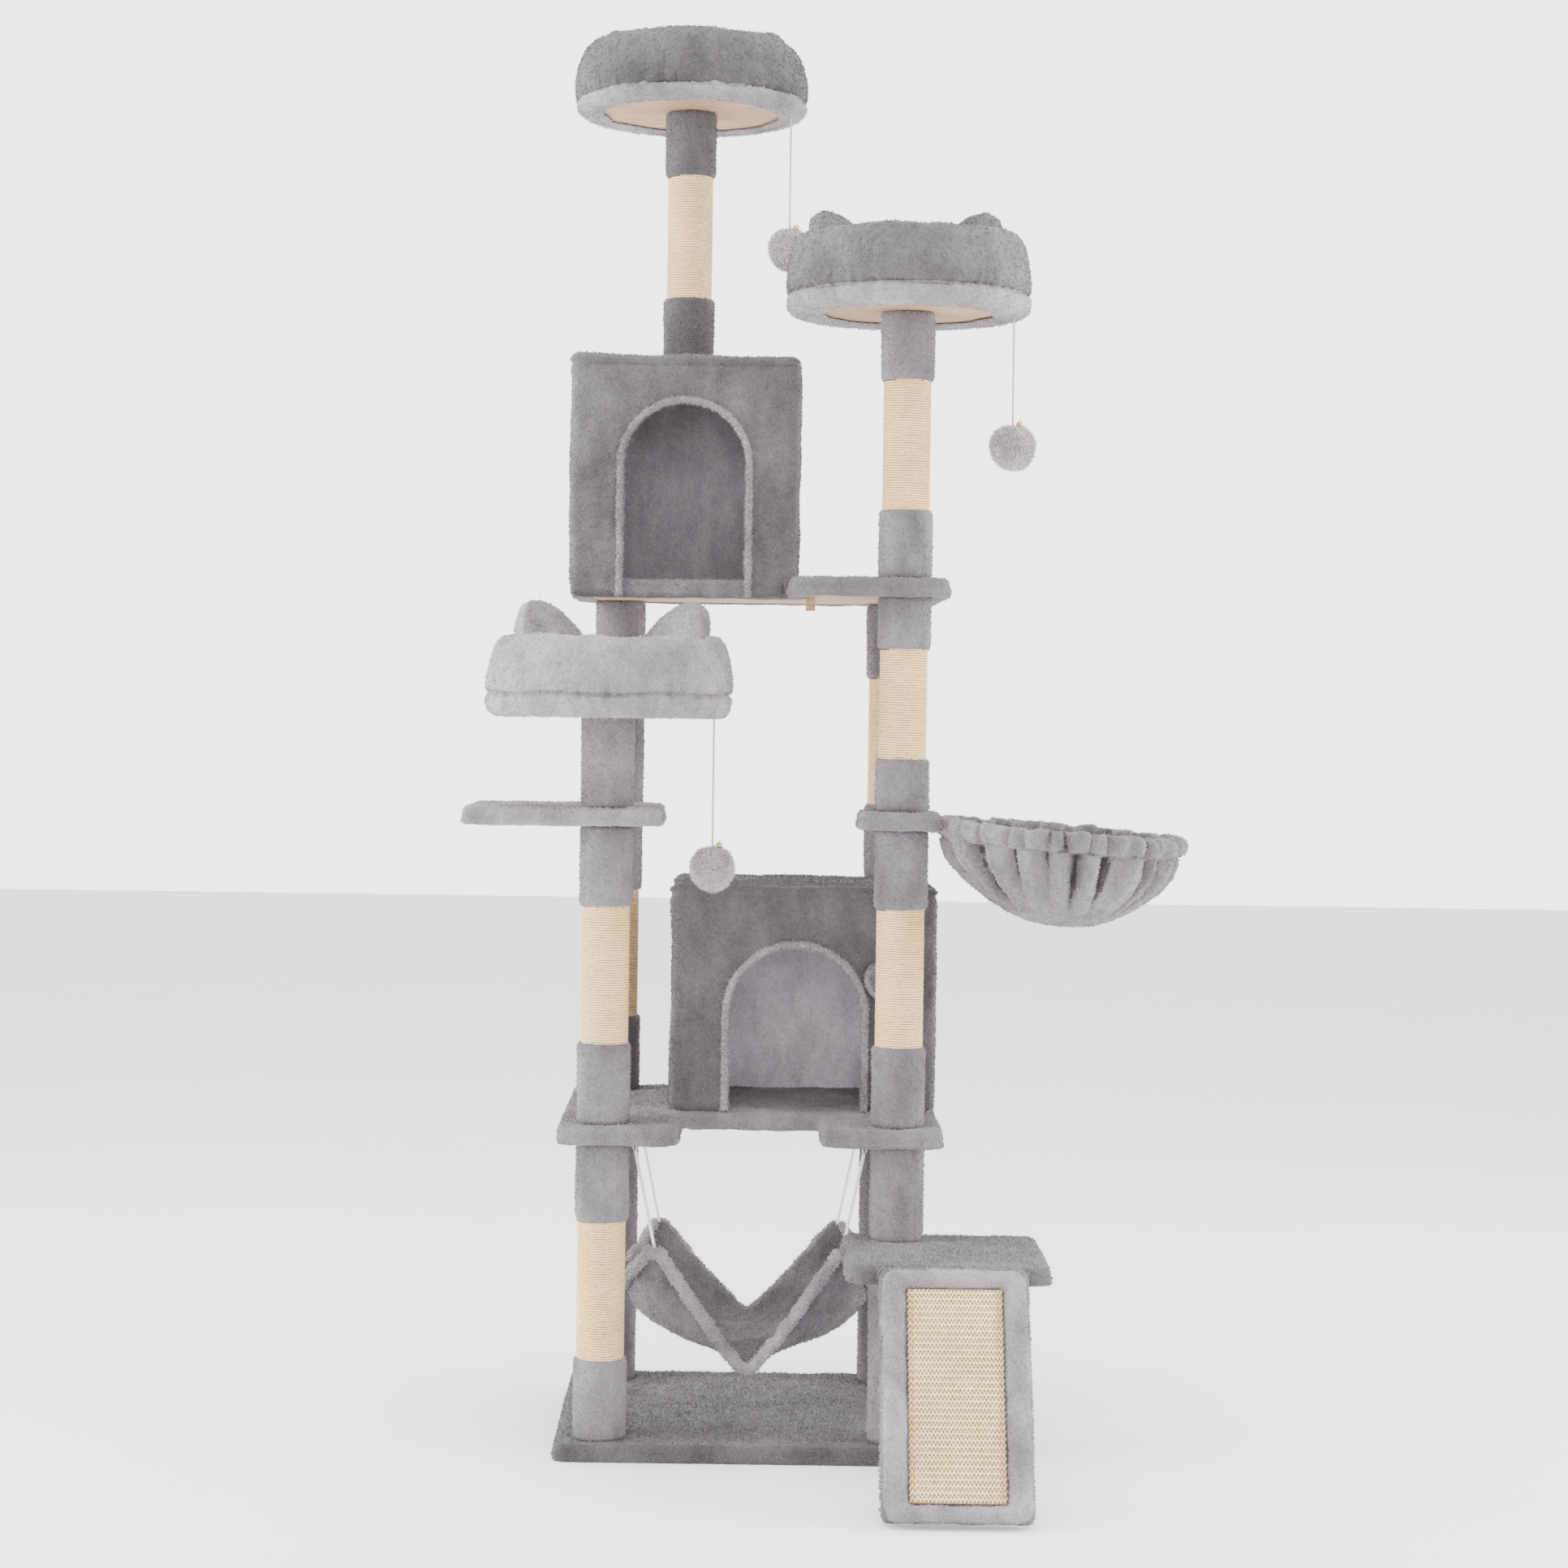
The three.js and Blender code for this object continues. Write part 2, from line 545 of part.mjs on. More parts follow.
// The hems are drawn tight by the cords. Between them the cloth slumps outwards and down.
function slingSolid() {
  const hem = [...hemLine(-1).reverse(), ...hemLine(1).slice(1)];
  const rows = [0, 0.05, 0.12, 0.25, 0.5, 0.75, 0.88, 0.95, 1].map((back) => {
    const between = Math.min(1, Math.max(0, (back - 0.05) / 0.9));
    const slump = Math.sin(Math.PI * between) ** 0.6;
    const low = SLING_LOW_FRONT + (SLING_LOW_BACK - SLING_LOW_FRONT) * back;
    return hem.map(([arm, x, rise]) => {
      const share = slump * Math.sin(SLING_BELLY * arm);
      return [
        x + Math.sign(x) * SLING_SPREAD * share,
        slingFront + (slingBack - slingFront) * back,
        low + (slingCornerZ - low) * rise - SLING_SLUMP * share,
      ];
    });
  });
  return sheetSolid(rows, SLING_T);
}

// A sheet of a given thickness under rows of points. Each row is a line in X and Z.
function sheetSolid(rows, thickness) {
  const across = rows[0].length;
  const under = rows.map((row) => row.map(([x, y, z], i) => {
    const [before, after] = [row[Math.max(0, i - 1)], row[Math.min(across - 1, i + 1)]];
    const way = new THREE.Vector2(after[0] - before[0], after[2] - before[2]).setLength(thickness);
    return [x + way.y, y, z - way.x];
  }));
  const points = [...rows.flat(), ...under.flat()];
  const top = (i, j) => i * across + j;
  const bottom = (i, j) => rows.length * across + top(i, j);
  const faces = [];
  const quad = (a, b, c, d) => faces.push(a, b, c, a, c, d);
  const [lastRow, lastPoint] = [rows.length - 1, across - 1];
  for (let i = 0; i < lastRow; i += 1) {
    for (let j = 0; j < lastPoint; j += 1) {
      quad(top(i, j), top(i, j + 1), top(i + 1, j + 1), top(i + 1, j));
      quad(bottom(i, j), bottom(i + 1, j), bottom(i + 1, j + 1), bottom(i, j + 1));
    }
    quad(top(i, 0), top(i + 1, 0), bottom(i + 1, 0), bottom(i, 0));
    quad(top(i, lastPoint), bottom(i, lastPoint), bottom(i + 1, lastPoint), top(i + 1, lastPoint));
  }
  for (let j = 0; j < lastPoint; j += 1) {
    quad(top(0, j), bottom(0, j), bottom(0, j + 1), top(0, j + 1));
    quad(top(lastRow, j), top(lastRow, j + 1), bottom(lastRow, j + 1), bottom(lastRow, j));
  }
  const geometry = new THREE.BufferGeometry();
  geometry.setAttribute('position', new THREE.Float32BufferAttribute(points.flat(), 3));
  geometry.setIndex(faces);
  geometry.computeVertexNormals();
  return geometry;
}

add('hammock_sling', slingSolid(), darkPlush);
const corners = {
  left_front: [-1, HOOK_FRONT_Y], right_front: [1, HOOK_FRONT_Y],
  left_rear: [-1, HOOK_BACK_Y], right_rear: [1, HOOK_BACK_Y],
};
for (const [name, [side, y]] of Object.entries(corners)) {
  add(`hammock_cord_${name}`,
    cord([side * HOOK_X, y, MID_Z - SWING_GAP], [side * SLING_CORNER_X, y, slingCornerZ + SWING_GAP],
      ELASTIC_R), white);
}

// ---- Toys ----
// A string hangs from a bed's underside with a pompom and a bell at its end.
function toy(name, x, y, z, length) {
  add(`${name}_toy_string`, cord([0, 0, -SWING_GAP], [0, 0, -length], STRING_R), white, [x, y, z]);
  const pompom = new THREE.SphereGeometry(POMPOM_R, 12, 8).rotateX(Math.PI / 2);
  const middle = -length - SWING_GAP - POMPOM_R;
  add(`${name}_toy_pompom`, pompom, plush, [x, y, z + middle]);
  const away = POMPOM_R + BELL_R + GAP;
  add(`${name}_toy_bell`, new THREE.SphereGeometry(BELL_R, 8, 6).rotateX(Math.PI / 2), brass,
    [x + away * Math.sin(BELL_TURN), y, z + middle + away * Math.cos(BELL_TURN)]);
}

toy('high', HIGH_CONDO_X + STRING_OUT, highBedY, BED_HIGH_Z, STRINGS.high);
toy('right', POST_X + STRING_OUT, -POST_Y, BED_RIGHT_Z, STRINGS.right);
toy('left', -POST_X + STRING_OUT, -POST_Y, BED_LEFT_Z, STRINGS.left);

export default tree;
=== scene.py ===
# %% [markdown]
# # A tall cat tree
# The CAD model gives every board, post, condo, bed and joint. This script dresses it: plush with a
# real pile, wound sisal, woven matting, plywood, a gathered basket, a hammock and hanging toys.
# Everything is in metres, in the CAD model's own frame, so a piece is simply made where it belongs.

# %% Load the frame
import json
import math
import bpy
import bmesh
import numpy as np
from mathutils import Matrix, Vector, noise
from mathutils.kdtree import KDTree

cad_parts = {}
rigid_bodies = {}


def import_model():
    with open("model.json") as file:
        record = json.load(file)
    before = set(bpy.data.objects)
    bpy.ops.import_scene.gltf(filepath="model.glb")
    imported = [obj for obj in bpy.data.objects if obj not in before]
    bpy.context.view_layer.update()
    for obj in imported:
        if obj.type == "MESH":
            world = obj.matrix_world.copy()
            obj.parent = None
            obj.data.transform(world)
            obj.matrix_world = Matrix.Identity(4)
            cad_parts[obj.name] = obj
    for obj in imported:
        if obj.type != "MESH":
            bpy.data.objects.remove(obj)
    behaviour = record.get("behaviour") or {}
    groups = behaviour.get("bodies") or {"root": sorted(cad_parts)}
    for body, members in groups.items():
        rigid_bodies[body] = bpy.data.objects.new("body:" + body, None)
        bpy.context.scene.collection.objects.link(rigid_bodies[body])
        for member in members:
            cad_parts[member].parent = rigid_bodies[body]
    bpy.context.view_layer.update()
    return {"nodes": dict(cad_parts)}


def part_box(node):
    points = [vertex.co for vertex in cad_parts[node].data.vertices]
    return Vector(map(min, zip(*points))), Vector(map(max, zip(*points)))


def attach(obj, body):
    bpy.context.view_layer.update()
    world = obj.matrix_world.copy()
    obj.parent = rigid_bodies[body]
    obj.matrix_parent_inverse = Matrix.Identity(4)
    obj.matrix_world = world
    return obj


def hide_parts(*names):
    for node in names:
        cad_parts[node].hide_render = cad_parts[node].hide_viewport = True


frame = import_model()


def middle(node):
    low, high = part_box(node)
    return (low + high) / 2


# %% [markdown]
# The camera stands well back, at a little over half the tree's height, and looks level along +Y.
# A long lens keeps the columns straight, and a small shift frames the tree without tilting them.

# %% Camera
eye = bpy.data.cameras.new("eye")
eye.sensor_width = 36
eye.lens = 68.94
eye.shift_x = 0.0248
eye.shift_y = -0.0549
camera = bpy.data.objects.new("camera", eye)
camera.location = (-0.016, -4.598, 1.111)
camera.rotation_euler = (math.radians(90), math.radians(-0.78), 0)
bpy.context.scene.collection.objects.link(camera)
bpy.context.scene.camera = camera

# %% [markdown]
# A white floor in a white room that is brighter behind the tree, and big soft lights: one to each
# side, so that the nap of the plush catches light along both edges of a post, and a weaker one in
# front and one above that open the shadows.

# %% Floor and lights


def soft_light(name, place, aim, size, watts):
    lamp = bpy.data.lights.new(name, "AREA")
    lamp.shape = "RECTANGLE"
    lamp.size, lamp.size_y = size
    lamp.energy = watts
    holder = bpy.data.objects.new(name, lamp)
    holder.location = place
    holder.rotation_euler = (Vector(aim) - Vector(place)).to_track_quat("-Z", "Y").to_euler()
    bpy.context.scene.collection.objects.link(holder)


soft_light("left_window", (-3.0, -0.9, 1.5), (0, 0, 1.1), (1.6, 3.0), 190)
soft_light("right_window", (3.1, -0.6, 1.5), (0, 0, 1.1), (1.4, 2.8), 145)
soft_light("front_fill", (-0.3, -5.2, 1.9), (0, 0, 0.9), (2.4, 1.6), 70)
soft_light("overhead", (0, -0.6, 4.4), (0, 0, 0), (2.6, 2.2), 130)

# How bright the white room is in front of the tree and behind it.
ROOM_FRONT, ROOM_BEHIND = 2.0, 3.9
world = bpy.data.worlds.new("white_room")
bpy.context.scene.world = world
world.use_nodes = True
room = world.node_tree
room.nodes["Background"].inputs["Color"].default_value = (1, 1, 1, 1)
split = room.nodes.new("ShaderNodeSeparateXYZ")
ranged = room.nodes.new("ShaderNodeMapRange")
for socket, value in {"From Min": 0.3, "From Max": 0.9, "To Min": ROOM_FRONT, "To Max": ROOM_BEHIND}.items():
    ranged.inputs[socket].default_value = value
way = room.nodes.new("ShaderNodeTexCoord").outputs["Generated"]
room.links.new(way, split.inputs["Vector"])
room.links.new(split.outputs["Y"], ranged.inputs["Value"])
room.links.new(ranged.outputs["Result"], room.nodes["Background"].inputs["Strength"])

# %% [markdown]
# ## Helpers for meshes
# A piece is a plain mesh at the origin with its place in its points. These few helpers make one
# from a grid of points, from a turned profile, from a tube's path, or from a copy of CAD solids.

# %% Mesh helpers


def piece(name, mesh, material, smooth=True):
    made = bpy.data.objects.new(name, mesh)
    bpy.context.scene.collection.objects.link(made)
    mesh.materials.clear()
    mesh.materials.append(material)
    mesh.polygons.foreach_set("use_smooth", [smooth] * len(mesh.polygons))
    return made


def mount(made, body="tree", nodes=()):
    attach(made, body)
    if nodes:
        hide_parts(*nodes)
    return made


def points_of(mesh):
    flat = np.empty(len(mesh.vertices) * 3, np.float32)
    mesh.vertices.foreach_get("co", flat)
    return flat.reshape(-1, 3).astype(float)


def set_points(mesh, points):
    mesh.vertices.foreach_set("co", points.astype(np.float32).ravel())
    mesh.update()


def normals_of(mesh):
    flat = np.empty(len(mesh.vertices) * 3, np.float32)
    mesh.vertex_normals.foreach_get("vector", flat)
    return flat.reshape(-1, 3).astype(float)


def shaped(made, *modifiers):
    """Adds modifiers given as (type, {setting: value}) and keeps their result as a plain mesh."""
    for kind, settings in modifiers:
        added = made.modifiers.new(kind.lower(), kind)
        for setting, value in settings.items():
            setattr(added, setting, value)
    seen = made.evaluated_get(bpy.context.evaluated_depsgraph_get())
    result = bpy.data.meshes.new_from_object(seen)
    made.modifiers.clear()
    made.data = result
    result.polygons.foreach_set("use_smooth", [True] * len(result.polygons))
    return made


def grid(name, points, around=True, caps=True):
    """A mesh from rows of points. Rows close on themselves when around, and caps close the ends."""
    rows, count, _ = points.shape
    index = np.arange(rows * count).reshape(rows, count)
    faces = []
    span = count if around else count - 1
    for i in range(rows - 1):
        for j in range(span):
            k = (j + 1) % count
            faces.append((index[i, j], index[i, k], index[i + 1, k], index[i + 1, j]))
    if caps:
        faces.append(tuple(index[0, ::-1]))
        faces.append(tuple(index[-1]))
    mesh = bpy.data.meshes.new(name)
    mesh.from_pydata(points.reshape(-1, 3).tolist(), [], [tuple(int(v) for v in f) for f in faces])
    return mesh


def outward(mesh):
    """Merges doubles and turns every face out."""
    work = bmesh.new()
    work.from_mesh(mesh)
    bmesh.ops.remove_doubles(work, verts=work.verts, dist=1e-6)
    bmesh.ops.recalc_face_normals(work, faces=work.faces)
    work.to_mesh(mesh)
    work.free()
    mesh.update()
    return mesh


def resampled(line, step):
    """Points about a step apart along a line of points."""
    line = np.array(line, float)
    lengths = np.linalg.norm(np.diff(line, axis=0), axis=1)
    along = np.concatenate([[0], np.cumsum(lengths)])
    wanted = np.linspace(0, along[-1], max(2, round(along[-1] / step) + 1))
    return np.stack([np.interp(wanted, along, line[:, i]) for i in range(line.shape[1])], axis=1)


def tube(name, path, radius, sides=10, closed=False):
    """A round tube along a path. radius is one number or one for each point."""
    path = np.array(path, float)
    ahead = np.roll(path, -1, axis=0) - np.roll(path, 1, axis=0)
    if not closed:
        ahead[0] = path[1] - path[0]
        ahead[-1] = path[-1] - path[-2]
    ahead /= np.linalg.norm(ahead, axis=1)[:, None]
    side = np.cross(ahead[0], (0.31, 0.93, 0.17))
    radii = np.broadcast_to(radius, len(path))
    turn = np.linspace(0, 2 * math.pi, sides, endpoint=False)
    rings = []
    for place, way, r in zip(path, ahead, radii):
        side = side - way * np.dot(side, way)
        side /= np.linalg.norm(side)
        up = np.cross(way, side)
        rings.append([place + r * (math.cos(t) * side + math.sin(t) * up) for t in turn])
    if closed:
        rings.append(rings[0])
    return outward(grid(name, np.array(rings), caps=not closed))


def solid_copy(name, nodes):
    """One mesh holding copies of CAD solids, with their loose triangles merged."""
    work = bmesh.new()
    for node in nodes:
        work.from_mesh(frame["nodes"][node].data)
    bmesh.ops.remove_doubles(work, verts=work.verts, dist=1e-5)
    mesh = bpy.data.meshes.new(name)
    work.to_mesh(mesh)
    work.free()
    return mesh


def rumple(mesh, amount, scale, seed, stretch=(1, 1, 1)):
    """Moves points along their normals by smooth noise, as a nap lies higher and lower."""
    points = points_of(mesh)
    normals = normals_of(mesh)
    offset = Vector((seed * 1.7, seed * 2.3, seed * 0.9))
    spread = points * scale * np.array(stretch)
    depth = np.array([noise.noise(Vector(p) + offset) for p in spread])
    set_points(mesh, points + normals * (depth * amount)[:, None])


# %% [markdown]
# ## Materials
# Plush is a short, dense nap. Its colour shifts in soft patches where the nap lies this way or that,
# with finer streaks inside them, and its sheen lightens whatever turns away from the eye. All of it
# is worked out from Object coordinates, so no piece needs a UV map.

# %% Material helpers


class Nodes:
    """A material's node tree with short ways to add and link nodes."""

    def __init__(self, name, **settings):
        self.material = bpy.data.materials.new(name)
        self.material.use_nodes = True
        self.tree = self.material.node_tree
        self.shader = self.tree.nodes["Principled BSDF"]
        for socket, value in settings.items():
            self.shader.inputs[socket.replace("_", " ")].default_value = value
        self.place = self.tree.nodes.new("ShaderNodeTexCoord").outputs["Object"]

    def add(self, kind, links=(), **settings):
        node = self.tree.nodes.new("ShaderNode" + kind)
        for key, value in settings.items():
            if key[0].isupper():
                node.inputs[key.replace("_", " ")].default_value = value
            else:
                setattr(node, key, value)
        for socket, source in dict(links).items():
            self.tree.links.new(source, node.inputs[socket])
        return node

    def noise(self, scale, detail=3, stretch=None, rough=0.55):
        place = self.place
        if stretch:
            place = self.add("Mapping", {"Vector": place}, Scale=stretch).outputs["Vector"]
        made = self.add("TexNoise", {"Vector": place}, Scale=scale, Detail=detail, Roughness=rough)
        return made.outputs["Fac"]

    def ramp(self, fac, *stops):
        ramp = self.add("ValToRGB", {"Fac": fac})
        band = ramp.color_ramp
        band.elements[0].position, band.elements[-1].position = stops[0][0], stops[-1][0]
        for position, _ in stops[1:-1]:
            band.elements.new(position)
        for element, (_, colour) in zip(band.elements, stops):
            element.color = (*colour, 1)
        return ramp.outputs["Color"]

    def mix(self, kind, share, first, second):
        mixed = self.add("Mix", data_type="RGBA", blend_type=kind)
        mixed.inputs[0].default_value = share
        self.tree.links.new(first, mixed.inputs[6])
        self.tree.links.new(second, mixed.inputs[7])
        return mixed.outputs[2]

    def bump(self, height, strength, distance):
        made = self.add("Bump", {"Height": height}, Strength=strength, Distance=distance)
        self.tree.links.new(made.outputs["Normal"], self.shader.inputs["Normal"])

    def colour(self, source):
        self.tree.links.new(source, self.shader.inputs["Base Color"])

    def roughness(self, source, low, high):
        ranged = self.add("MapRange", {"Value": source}, To_Min=low, To_Max=high)
        self.tree.links.new(ranged.outputs["Result"], self.shader.inputs["Roughness"])


def grey(level):
    """The plush's grey, which has a touch of violet in it."""
    return (level, level * 0.925, level)


def plush_finish(name, dark, light, patches=7.0):
    made = Nodes(name, Sheen_Weight=0.22, Sheen_Roughness=0.45, Sheen_Tint=(0.95, 0.92, 0.95, 1),
                 Specular_IOR_Level=0.12)
    cloud = made.ramp(made.noise(patches, 4), (0.36, grey(dark)), (0.62, grey(light)))
    streak = made.ramp(made.noise(34, 4, (1, 1, 0.4)), (0.3, (0.72,) * 3), (0.7, (1.08,) * 3))
    speck = made.ramp(made.noise(230, 4, rough=0.7), (0.34, (0.80,) * 3), (0.66, (1.12,) * 3))
    made.colour(made.mix("MULTIPLY", 1, made.mix("MULTIPLY", 0.9, cloud, streak), speck))
    made.bump(made.noise(190, 5, rough=0.7), 0.75, 0.003)
    made.roughness(made.noise(25), 0.82, 0.98)
    return made.material


def fleece(name, share, patches=7.0):
    """A plush and the paler nap that grows on it, both lighter or darker by a share.
    The darker cloth under the nap is painted shade between the tufts.
    """
    return (plush_finish(f"{name}_plush", 0.16 * share, 0.27 * share, patches),
            plush_finish(f"{name}_nap", 0.25 * share, 0.37 * share, patches))


# Copies of the one grey plush with painted light and shade: painted shade and half painted shade where the
# cloth faces the eye in shade, painted light on edges, rims and bands that catch the light.
MIDDLE, PAINTED_SHADE, HALF_PAINTED_SHADE, PAINTED_LIGHT = (fleece("grey", 0.77), fleece("deep", 0.42), fleece("dim", 0.56),
                           fleece("pale", 1.27))
plush, plush_pile = MIDDLE
sling_plush = plush_finish("hammock_plush", 0.09, 0.18, 9.0)
fluff = plush_finish("pompom_fluff", 0.46, 0.66, 30.0)
# The condos' linings are painted light: much paler copies of the grey plush that stand for light reaching
# inside, the lower one most.
lining = {"upper": plush_finish("upper_lining_painted_light", 0.34, 0.48, 4.0),
          "lower": plush_finish("lower_lining_painted_light", 0.66, 0.84, 4.0)}

# %% [markdown]
# Sisal is a pale, dry plant fibre. On the posts the fibres run round with the rope, on the mat they
# run along each woven grain. Light and dark fibres lie side by side, so the noise is stretched.

# %% Sisal, plywood, cord and metal finishes


def sisal_finish(name, dark, light, stretch):
    made = Nodes(name, Specular_IOR_Level=0.22)
    fibre = made.ramp(made.noise(260, 4, stretch), (0.28, dark), (0.66, light))
    patch = made.ramp(made.noise(16, 3), (0.3, (0.86, 0.84, 0.80)), (0.7, (1, 1, 1)))
    made.colour(made.mix("MULTIPLY", 1, fibre, patch))
    made.bump(made.noise(520, 3, stretch), 0.55, 0.0006)
    made.roughness(made.noise(90), 0.72, 0.92)
    return made.material


sisal = sisal_finish("sisal_rope", (0.60, 0.40, 0.18), (0.97, 0.73, 0.39), (0.7, 0.7, 3.5))
selvage = sisal_finish("sisal_selvage", (0.50, 0.34, 0.16), (0.84, 0.63, 0.36), (2.0, 1.0, 1.0))
shade = sisal_finish("sisal_shade", (0.22, 0.14, 0.06), (0.42, 0.29, 0.14), (2.0, 1.0, 1.0))
matting = sisal_finish("sisal_mat", (0.72, 0.54, 0.30), (1.0, 0.84, 0.56), (2.0, 1.0, 1.0))


def plywood_finish():
    made = Nodes("bare_plywood", Specular_IOR_Level=0.3)
    grain = made.ramp(made.noise(26, 5, (0.5, 5.0, 5.0)), (0.3, (0.33, 0.20, 0.11)),
                      (0.5, (0.44, 0.28, 0.165)), (0.72, (0.52, 0.35, 0.22)))
    flecks = made.ramp(made.noise(300, 2, (0.25, 3.0, 3.0)), (0.35, (0.86, 0.82, 0.78)), (0.6, (1, 1, 1)))
    made.colour(made.mix("MULTIPLY", 1, grain, flecks))
    made.bump(made.noise(240, 4, (0.3, 4.0, 4.0)), 0.25, 0.0004)
    made.roughness(made.noise(50), 0.5, 0.7)
    return made.material


def cord_finish(name, level, twist):
    made = Nodes(name, Specular_IOR_Level=0.3)
    weave = made.add("TexWave", {"Vector": made.place}, Scale=twist, Distortion=1.5, Detail=1.0)
    weave.bands_direction = "DIAGONAL"
    strand = made.ramp(weave.outputs["Fac"], (0.1, (level * 0.8,) * 3), (0.6, (level,) * 3))
    made.colour(strand)
    made.bump(weave.outputs["Fac"], 0.4, 0.0004)
    made.roughness(made.noise(200), 0.55, 0.75)
    return made.material


def metal_finish(name, colour, shine):
    made = Nodes(name, Metallic=1.0)
    wear = made.ramp(made.noise(180, 4), (0.3, tuple(c * 0.72 for c in colour)), (0.7, colour))
    made.colour(wear)
    made.roughness(made.noise(320, 3), shine, shine + 0.16)
    made.bump(made.noise(700, 2), 0.1, 0.0002)
    return made.material


plywood = plywood_finish()
elastic = cord_finish("white_elastic", 0.88, 420.0)
string = cord_finish("white_string", 0.52, 700.0)
steel = metal_finish("bright_wire", (0.66, 0.67, 0.69), 0.2)
brass = metal_finish("bell_brass", (0.80, 0.58, 0.22), 0.14)

for node_name in ("base_board", "mid_board", "upper_board", "stop_block",
                  "high_bed_disc", "right_bed_disc", "left_bed_disc"):
    frame["nodes"][node_name].data.materials.clear()
    frame["nodes"][node_name].data.materials.append(plywood)
hoop_mesh = frame["nodes"]["basket_hoop"].data
hoop_mesh.materials.clear()
hoop_mesh.materials.append(steel)
print("finishes made:", len(bpy.data.materials))

# %% [markdown]
# ## The pile
# Real plush is thousands of short tufts. Geometry Nodes scatter small pointed tufts over a
# surface, lean each one a little at random, and vary their length. A tuft is an open cone of three
# faces, because it is repeated many thousands of times. One tree serves every plush piece, with its
# own inputs.

# %% Geometry Nodes helpers


class Tree:
    """A Geometry Nodes group with named inputs."""

    def __init__(self, name, **inputs):
        self.group = bpy.data.node_groups.new(name, "GeometryNodeTree")
        face = self.group.interface
        face.new_socket("Geometry", in_out="INPUT", socket_type="NodeSocketGeometry")
        face.new_socket("Geometry", in_out="OUTPUT", socket_type="NodeSocketGeometry")
        self.ids = {}
        for label, value in inputs.items():
            kind = {float: "Float", int: "Int"}.get(type(value), "Material")
            made = face.new_socket(label, in_out="INPUT", socket_type="NodeSocket" + kind)
            if kind != "Material":
                made.default_value = value
            self.ids[label] = made.identifier
        self.given = self.group.nodes.new("NodeGroupInput").outputs
        self.end = self.group.nodes.new("NodeGroupOutput").inputs["Geometry"]

    def add(self, kind, links=(), **settings):
        node = self.group.nodes.new(kind)
        for key, value in settings.items():
            if key[0].isupper():
                node.inputs[key.replace("_", " ")].default_value = value
            else:
                setattr(node, key, value)
        for socket, source in dict(links).items():
            self.group.links.new(source, node.inputs[socket])
        return node

    def math(self, operation, first, second):
        node = self.add("ShaderNodeMath", operation=operation)
        for slot_index, value in enumerate((first, second)):
            if isinstance(value, (int, float)):
                node.inputs[slot_index].default_value = value
            else:
                self.group.links.new(value, node.inputs[slot_index])
        return node.outputs[0]

    def finish(self, geometry):
        real = self.add("GeometryNodeRealizeInstances", {"Geometry": geometry})
        last = self.add("GeometryNodeSetMaterial", {"Geometry": real.outputs["Geometry"],
                                                    "Material": self.given["Material"]})
        self.group.links.new(last.outputs["Geometry"], self.end)

    def run(self, name, source, **values):
        """Runs the tree on a mesh and gives the result as a new piece."""
        holder = bpy.data.objects.new(name, source)
        bpy.context.scene.collection.objects.link(holder)
        modifier = holder.modifiers.new(name, "NODES")
        modifier.node_group = self.group
        for label, value in values.items():
            modifier[self.ids[label]] = value
        seen = holder.evaluated_get(bpy.context.evaluated_depsgraph_get())
        result = bpy.data.meshes.new_from_object(seen)
        bpy.data.objects.remove(holder)
        result.name = name
        return piece(name, result, values["Material"], smooth=False)


PILE_SPOTS = 45500 # tufts on a square metre
PILE_LENGTH = 0.0032
PILE_WIDTH = 0.00105
PILE_LEAN = 0.95 # the most that a tuft leans, in radians


def pile_tree():
    made = Tree("pile", Density=float(PILE_SPOTS), Length=PILE_LENGTH, Width=PILE_WIDTH, Lean=PILE_LEAN,
                Seed=1, Material=None)
    spots = made.add("GeometryNodeDistributePointsOnFaces", {
        "Mesh": made.given["Geometry"], "Density": made.given["Density"], "Seed": made.given["Seed"]})
    tuft = made.add("GeometryNodeMeshCone", {
        "Radius Bottom": made.given["Width"], "Depth": made.given["Length"]}, Vertices=3,
        fill_type="NONE")
    low = made.add("ShaderNodeCombineXYZ", {"X": made.math("MULTIPLY", made.given["Lean"], -1.0),
                                            "Y": made.math("MULTIPLY", made.given["Lean"], -1.0)})
    high = made.add("ShaderNodeCombineXYZ", {"X": made.given["Lean"], "Y": made.given["Lean"]}, Z=6.0)
    lean = made.add("FunctionNodeRandomValue", {"Min": low.outputs[0], "Max": high.outputs[0]},
                    data_type="FLOAT_VECTOR")
    turned = made.add("FunctionNodeRotateRotation", {
        "Rotation": spots.outputs["Rotation"], "Rotate By": lean.outputs["Value"]},
        rotation_space="LOCAL")
    size = made.add("FunctionNodeRandomValue", data_type="FLOAT")
    size.inputs[2].default_value = 0.55
    size.inputs[3].default_value = 1.25
    placed = made.add("GeometryNodeInstanceOnPoints", {
        "Points": spots.outputs["Points"], "Instance": tuft.outputs["Mesh"],
        "Rotation": turned.outputs["Rotation"], "Scale": size.outputs[1]})
    made.finish(placed.outputs["Instances"])
    return made


pile = pile_tree()


def seen_part(mesh, seen):
    """A copy of a mesh with only the faces whose middle and normal pass a test."""
    work = bmesh.new()
    work.from_mesh(mesh)
    hidden = [f for f in work.faces if not seen(f.calc_center_median(), f.normal)]
    bmesh.ops.delete(work, geom=hidden, context="FACES")
    part = bpy.data.meshes.new(mesh.name + "_seen")
    work.to_mesh(part)
    work.free()
    return part


def above_floor(mesh):
    """Lifts what dips below the floor to just above it."""
    points = points_of(mesh)
    points[:, 2] = np.maximum(points[:, 2], 0.0004)
    set_points(mesh, points)


